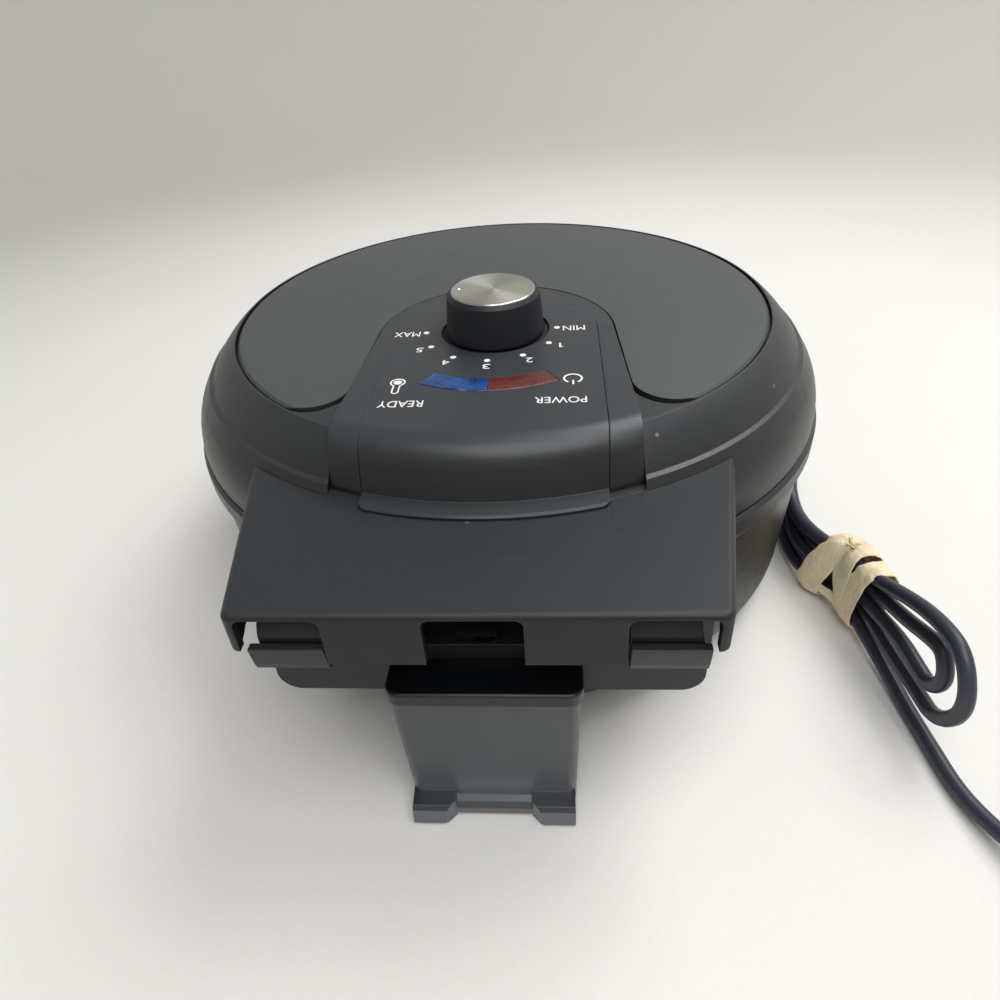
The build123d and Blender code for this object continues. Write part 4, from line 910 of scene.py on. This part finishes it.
class LegendOperator(bpy.types.Operator):
    """Print the dial scale, the two words and the two lamp symbols on the control panel."""

    bl_idname = "waffle_maker.legends"
    bl_label = "Printed legends"

    # What stands round the dial, and at how many degrees
    dial = (
        ("MAX", 0.0), ("5", 30.0), ("4", 60.0), ("3", 90.0), ("2", 120.5), ("1", 151.5),
        ("MIN", 183.0),
    )

    # In mm: the dial's middle from the knob's, radius of its dots, and the numbers' way out
    dial_shift = Vector((1.3, 1.5, 0.0))
    dot = 1.0
    number_gap = 4.1

    # Outline of the figure 1, in heights of a figure
    one = (
        (-0.09, -0.5), (0.09, -0.5), (0.09, 0.5), (-0.05, 0.5), (-0.3, 0.32), (-0.3, 0.18),
        (-0.09, 0.3),
    )

    def execute(self, context):
        s = context.scene.waffle_controls
        ink = printed_ink("white_ink", s.ink)
        self.ink_z = PANEL_Z + INK_GAP
        centre = Vector((KNOB_CENTRE.x, KNOB_CENTRE.y, self.ink_z)) + self.dial_shift * MM
        bm = bmesh.new()
        for text, turn in self.dial:
            way = Vector((math.cos(math.radians(turn)), math.sin(math.radians(turn)), 0))
            flat_disc(bm, centre + way * s.dial, self.dot * MM)
            if len(text) == 1:
                place = centre + way * (s.dial + self.number_gap * MM)
                if text == "1":
                    flat_shape(bm, [place + Vector((*p, 0)) * s.letter for p in self.one])
                else:
                    self.word("legend_" + text, text, place, (2.3 * MM, s.letter), ink, s)
        self.print_shape(bm, "dial_dots", ink, s)
        for text, place, width, height in (
            ("MAX", centre + Vector((s.dial + 6.5 * MM, 0.8 * MM, 0)), 8.9, 3.7),
            ("MIN", centre - Vector((s.dial + 5.7 * MM, 0.4 * MM, 0)), 7.4, 3.7),
            ("POWER", Vector((-21.6, 79.4, 0)) * MM, 14.9, 3.5),
            ("READY", Vector((24.9, 79.7, 0)) * MM, 13.4, 3.6),
        ):
            self.word("legend_" + text.lower(), text, place, (width * MM, height * MM), ink, s)
        self.power_symbol(ink, s)
        self.heat_symbol(ink, s)
        return {"FINISHED"}

    def print_shape(self, bm, name, ink, s):
        """Gives flat ink its thickness and puts it on the panel."""
        bmesh.ops.recalc_face_normals(bm, faces=bm.faces)
        raised = bmesh.ops.extrude_face_region(bm, geom=bm.faces[:])
        tops = [v for v in raised["geom"] if isinstance(v, bmesh.types.BMVert)]
        bmesh.ops.translate(bm, verts=tops, vec=(0, 0, s.ink_thickness))
        bmesh.ops.recalc_face_normals(bm, faces=bm.faces)
        mesh = bpy.data.meshes.new(name)
        bm.to_mesh(mesh)
        bm.free()
        shown(name, mesh, "lid", ink)

    def word(self, name, text, place, size, ink, s):
        """One printed word of that width and height, centred on its place."""
        letters = bpy.data.curves.new(name, "FONT")
        letters.body = text
        letters.size = 0.01
        letters.extrude = s.ink_thickness / 2
        letters.resolution_u = 3
        source = bpy.data.objects.new(name + "_letters", letters)
        context = bpy.context
        context.scene.collection.objects.link(source)
        context.view_layer.update()
        solid = source.evaluated_get(context.evaluated_depsgraph_get())
        mesh = bpy.data.meshes.new_from_object(solid)
        bpy.data.objects.remove(source)
        bpy.data.curves.remove(letters)
        mesh.name = name
        spread = [[v.co[axis] for v in mesh.vertices] for axis in (0, 1)]
        middle = [(max(values) + min(values)) / 2 for values in spread]
        scale = [wanted / (max(values) - min(values)) for wanted, values in zip(size, spread)]
        mesh.transform(
            Matrix.Translation((place.x, place.y, self.ink_z + s.ink_thickness / 2))
            @ Matrix.Diagonal((*scale, 1.0, 1.0))
            @ Matrix.Translation((-middle[0], -middle[1], 0.0))
        )
        mesh.materials.clear()
        shown(name, mesh, "lid", ink)

    def power_symbol(self, ink, s):
        """Broken ring with an upright bar."""
        bm = bmesh.new()
        centre = Vector((-25.4 * MM, 66.6 * MM, self.ink_z))
        flat_ring(bm, centre, 2.35 * MM, 2.95 * MM, 90 + 32, 360 - 64)
        bar = ((-0.3, 1.2, 0), (0.3, 1.2, 0), (0.3, 3.7, 0), (-0.3, 3.7, 0))
        flat_shape(bm, [centre + Vector(corner) * MM for corner in bar])
        self.print_shape(bm, "symbol_power", ink, s)

    def heat_symbol(self, ink, s):
        """Outline of a thermometer with its bulb towards the knob and a filled core."""
        bm = bmesh.new()
        bulb = Vector((27.7 * MM, 66.4 * MM, self.ink_z))
        top = bulb + Vector((0, 5.9, 0)) * MM
        neck = math.degrees(math.asin(1.15 / 2.3))
        flat_ring(bm, bulb, 1.9 * MM, 2.4 * MM, 90 + neck, 360 - 2 * neck)
        flat_ring(bm, top, 0.75 * MM, 1.2 * MM, 0, 180, 16)
        for side in (-1, 1):
            low = bulb + Vector((side * 0.95, 1.85, 0)) * MM
            flat_shape(bm, [
                low + Vector((-0.2, 0, 0)) * MM, low + Vector((0.25, 0, 0)) * MM,
                top + Vector((side * 0.95 + 0.25, 0, 0)) * MM,
                top + Vector((side * 0.95 - 0.2, 0, 0)) * MM,
            ])
        flat_disc(bm, bulb, 1.3 * MM)
        self.print_shape(bm, "symbol_heat", ink, s)


class InsideOperator(bpy.types.Operator):
    """Finish the waffle plates, heaters, shields and the wiring parts."""

    bl_idname = "waffle_maker.inside"
    bl_label = "Plates and inner parts"

    def execute(self, context):
        dress(cast_coating("cast_non_stick"), "lower_waffle_plate", "upper_waffle_plate")
        dress(burnt_tube("heater_tube"), "lower_heating_element", "upper_heating_element")
        dress(
            sheet_metal("tinned_sheet", srgb(196, 196, 192), 0.36),
            "lower_heat_shield", "upper_heat_shield", "thermostat_strap",
        )
        dress(
            sheet_metal("hinge_steel", srgb(176, 176, 174), 0.3),
            "hinge_pin_left", "hinge_pin_right",
        )
        dress(sheet_metal("zinc_screws", srgb(150, 150, 150), 0.38), "base_screws")
        dress(sheet_metal("nickel_blades", srgb(206, 200, 186), 0.26), "plug_blades")
        dress(plain_moulding("thermostat_ceramic", srgb(214, 204, 184)), "thermostat")
        dress(plain_moulding("terminal_nylon", srgb(218, 214, 200)), "terminal_block")
        dress(plain_moulding("fuse_sleeve", srgb(226, 224, 216), 0.6), "thermal_fuse")
        jacket = context.scene.waffle_cord.jacket
        # The plug gets only a little of the painted light on its upward faces.
        dress(moulded_plastic("plug_vinyl", jacket, 0.45, bloom_and_painted_top_light=0.15), "power_plug")
        return {"FINISHED"}


# The stage in metres: a round flat floor, a cove that curves up from it, and a wall
FLOOR_RADIUS = 0.7
COVE_RADIUS = 0.5
WALL_TOP = 0.9
FLOOR_DROP = 0.0003
LAMP_TARGET = Vector((0.0, 0.0, 0.06))


def soft_lamp(name, place, size, power):
    """A square soft lamp aimed at the object."""
    data = bpy.data.lights.new(name, "AREA")
    data.shape = "SQUARE"
    data.size = size
    data.energy = power
    lamp = bpy.data.objects.new(name, data)
    lamp.location = place
    lamp.rotation_euler = (Vector(place) - LAMP_TARGET).to_track_quat("Z", "Y").to_euler()
    bpy.context.scene.collection.objects.link(lamp)


class StageOperator(bpy.types.Operator):
    """Lay the pale paper floor and hang the soft lamps."""

    bl_idname = "waffle_maker.stage"
    bl_label = "Floor and light"

    def execute(self, context):
        s = context.scene.waffle_stage
        self.floor(context, s)
        self.sky(context, s)
        soft_lamp("key_lamp", (-0.60, -0.40, 1.2), 0.8, s.key)
        soft_lamp("fill_lamp", (-0.20, 0.60, 1.2), 0.9, s.fill)
        context.scene.view_settings.view_transform = "Standard"
        return {"FINISHED"}

    def floor(self, context, s):
        """Round floor with a cove and a wall, spun from their half section."""
        profile = [(0.0, 0.0), (0.3, 0.0), (0.6, 0.0)]
        for i in range(17):
            turn = math.radians(90 * i / 16)
            profile.append((
                FLOOR_RADIUS + COVE_RADIUS * math.sin(turn), COVE_RADIUS * (1 - math.cos(turn)),
            ))
        profile.append((FLOOR_RADIUS + COVE_RADIUS, WALL_TOP))
        bm = bmesh.new()
        points = [bm.verts.new((radius, 0.0, height)) for radius, height in profile]
        edges = [bm.edges.new(pair) for pair in zip(points, points[1:])]
        bmesh.ops.spin(
            bm, geom=points + edges, cent=(0, 0, 0), axis=(0, 0, 1), angle=math.tau, steps=96,
            use_merge=True,
        )
        bmesh.ops.remove_doubles(bm, verts=bm.verts, dist=1e-6)
        bmesh.ops.recalc_face_normals(bm, faces=bm.faces)
        bmesh.ops.reverse_faces(bm, faces=bm.faces)
        mesh = bpy.data.meshes.new("paper_floor")
        bm.to_mesh(mesh)
        bm.free()
        mesh.polygons.foreach_set("use_smooth", [True] * len(mesh.polygons))
        mesh.materials.append(floor_paper("floor_paper", s.floor, s.wall))
        floor = bpy.data.objects.new("paper_floor", mesh)
        floor.location.z = -FLOOR_DROP
        context.scene.collection.objects.link(floor)

    def sky(self, context, s):
        """Even light, behind which the camera sees the backdrop's colour go on."""
        world = bpy.data.worlds.new("studio")
        context.scene.world = world
        n = Nodes(world)
        path = n.node("ShaderNodeLightPath", {}, {})
        seen = n.node(
            "ShaderNodeMath", {"operation": "MAXIMUM"},
            {0: path.output("Is Camera Ray"), 1: path.output("Is Transmission Ray")},
        )
        even = n.node(
            "ShaderNodeBackground", {}, {"Color": (0.95, 0.97, 1.0), "Strength": s.sky}
        )
        back = n.node(
            "ShaderNodeBackground", {}, {"Color": scaled(s.wall, 0.78), "Strength": 1.0}
        )
        chosen = n.node("ShaderNodeMixShader", {}, {0: seen, 1: even, 2: back})
        n.node("ShaderNodeOutputWorld", {}, {"Surface": chosen})


OPERATORS = (
    CameraOperator, TieOperator, CordOperator, HousingOperator, KnobOperator, LampOperator,
    LegendOperator, InsideOperator, StageOperator,
)


class WaffleMakerPanel(bpy.types.Panel):
    """Lists the steps that dress the waffle maker."""

    bl_idname = "VIEW3D_PT_waffle_maker"
    bl_label = "Waffle Maker"
    bl_space_type = "VIEW_3D"
    bl_region_type = "UI"
    bl_category = "Waffle Maker"

    def draw(self, context):
        layout = self.layout
        for group, kind in SETTINGS.items():
            box = layout.box()
            for name in kind.__annotations__:
                box.prop(getattr(context.scene, group), name)
        for operator in OPERATORS:
            layout.operator(operator.bl_idname)


def register():
    for kind in SETTINGS.values():
        bpy.utils.register_class(kind)
    for name, kind in SETTINGS.items():
        setattr(bpy.types.Scene, name, PointerProperty(type=kind))
    for kind in (*OPERATORS, WaffleMakerPanel):
        bpy.utils.register_class(kind)


def unregister():
    for kind in (WaffleMakerPanel, *reversed(OPERATORS)):
        bpy.utils.unregister_class(kind)
    for name, kind in SETTINGS.items():
        delattr(bpy.types.Scene, name)
        bpy.utils.unregister_class(kind)


def main():
    register()
    for operator in OPERATORS:
        group, name = operator.bl_idname.split(".")
        getattr(getattr(bpy.ops, group), name)()


if __name__ == "__main__":
    main()
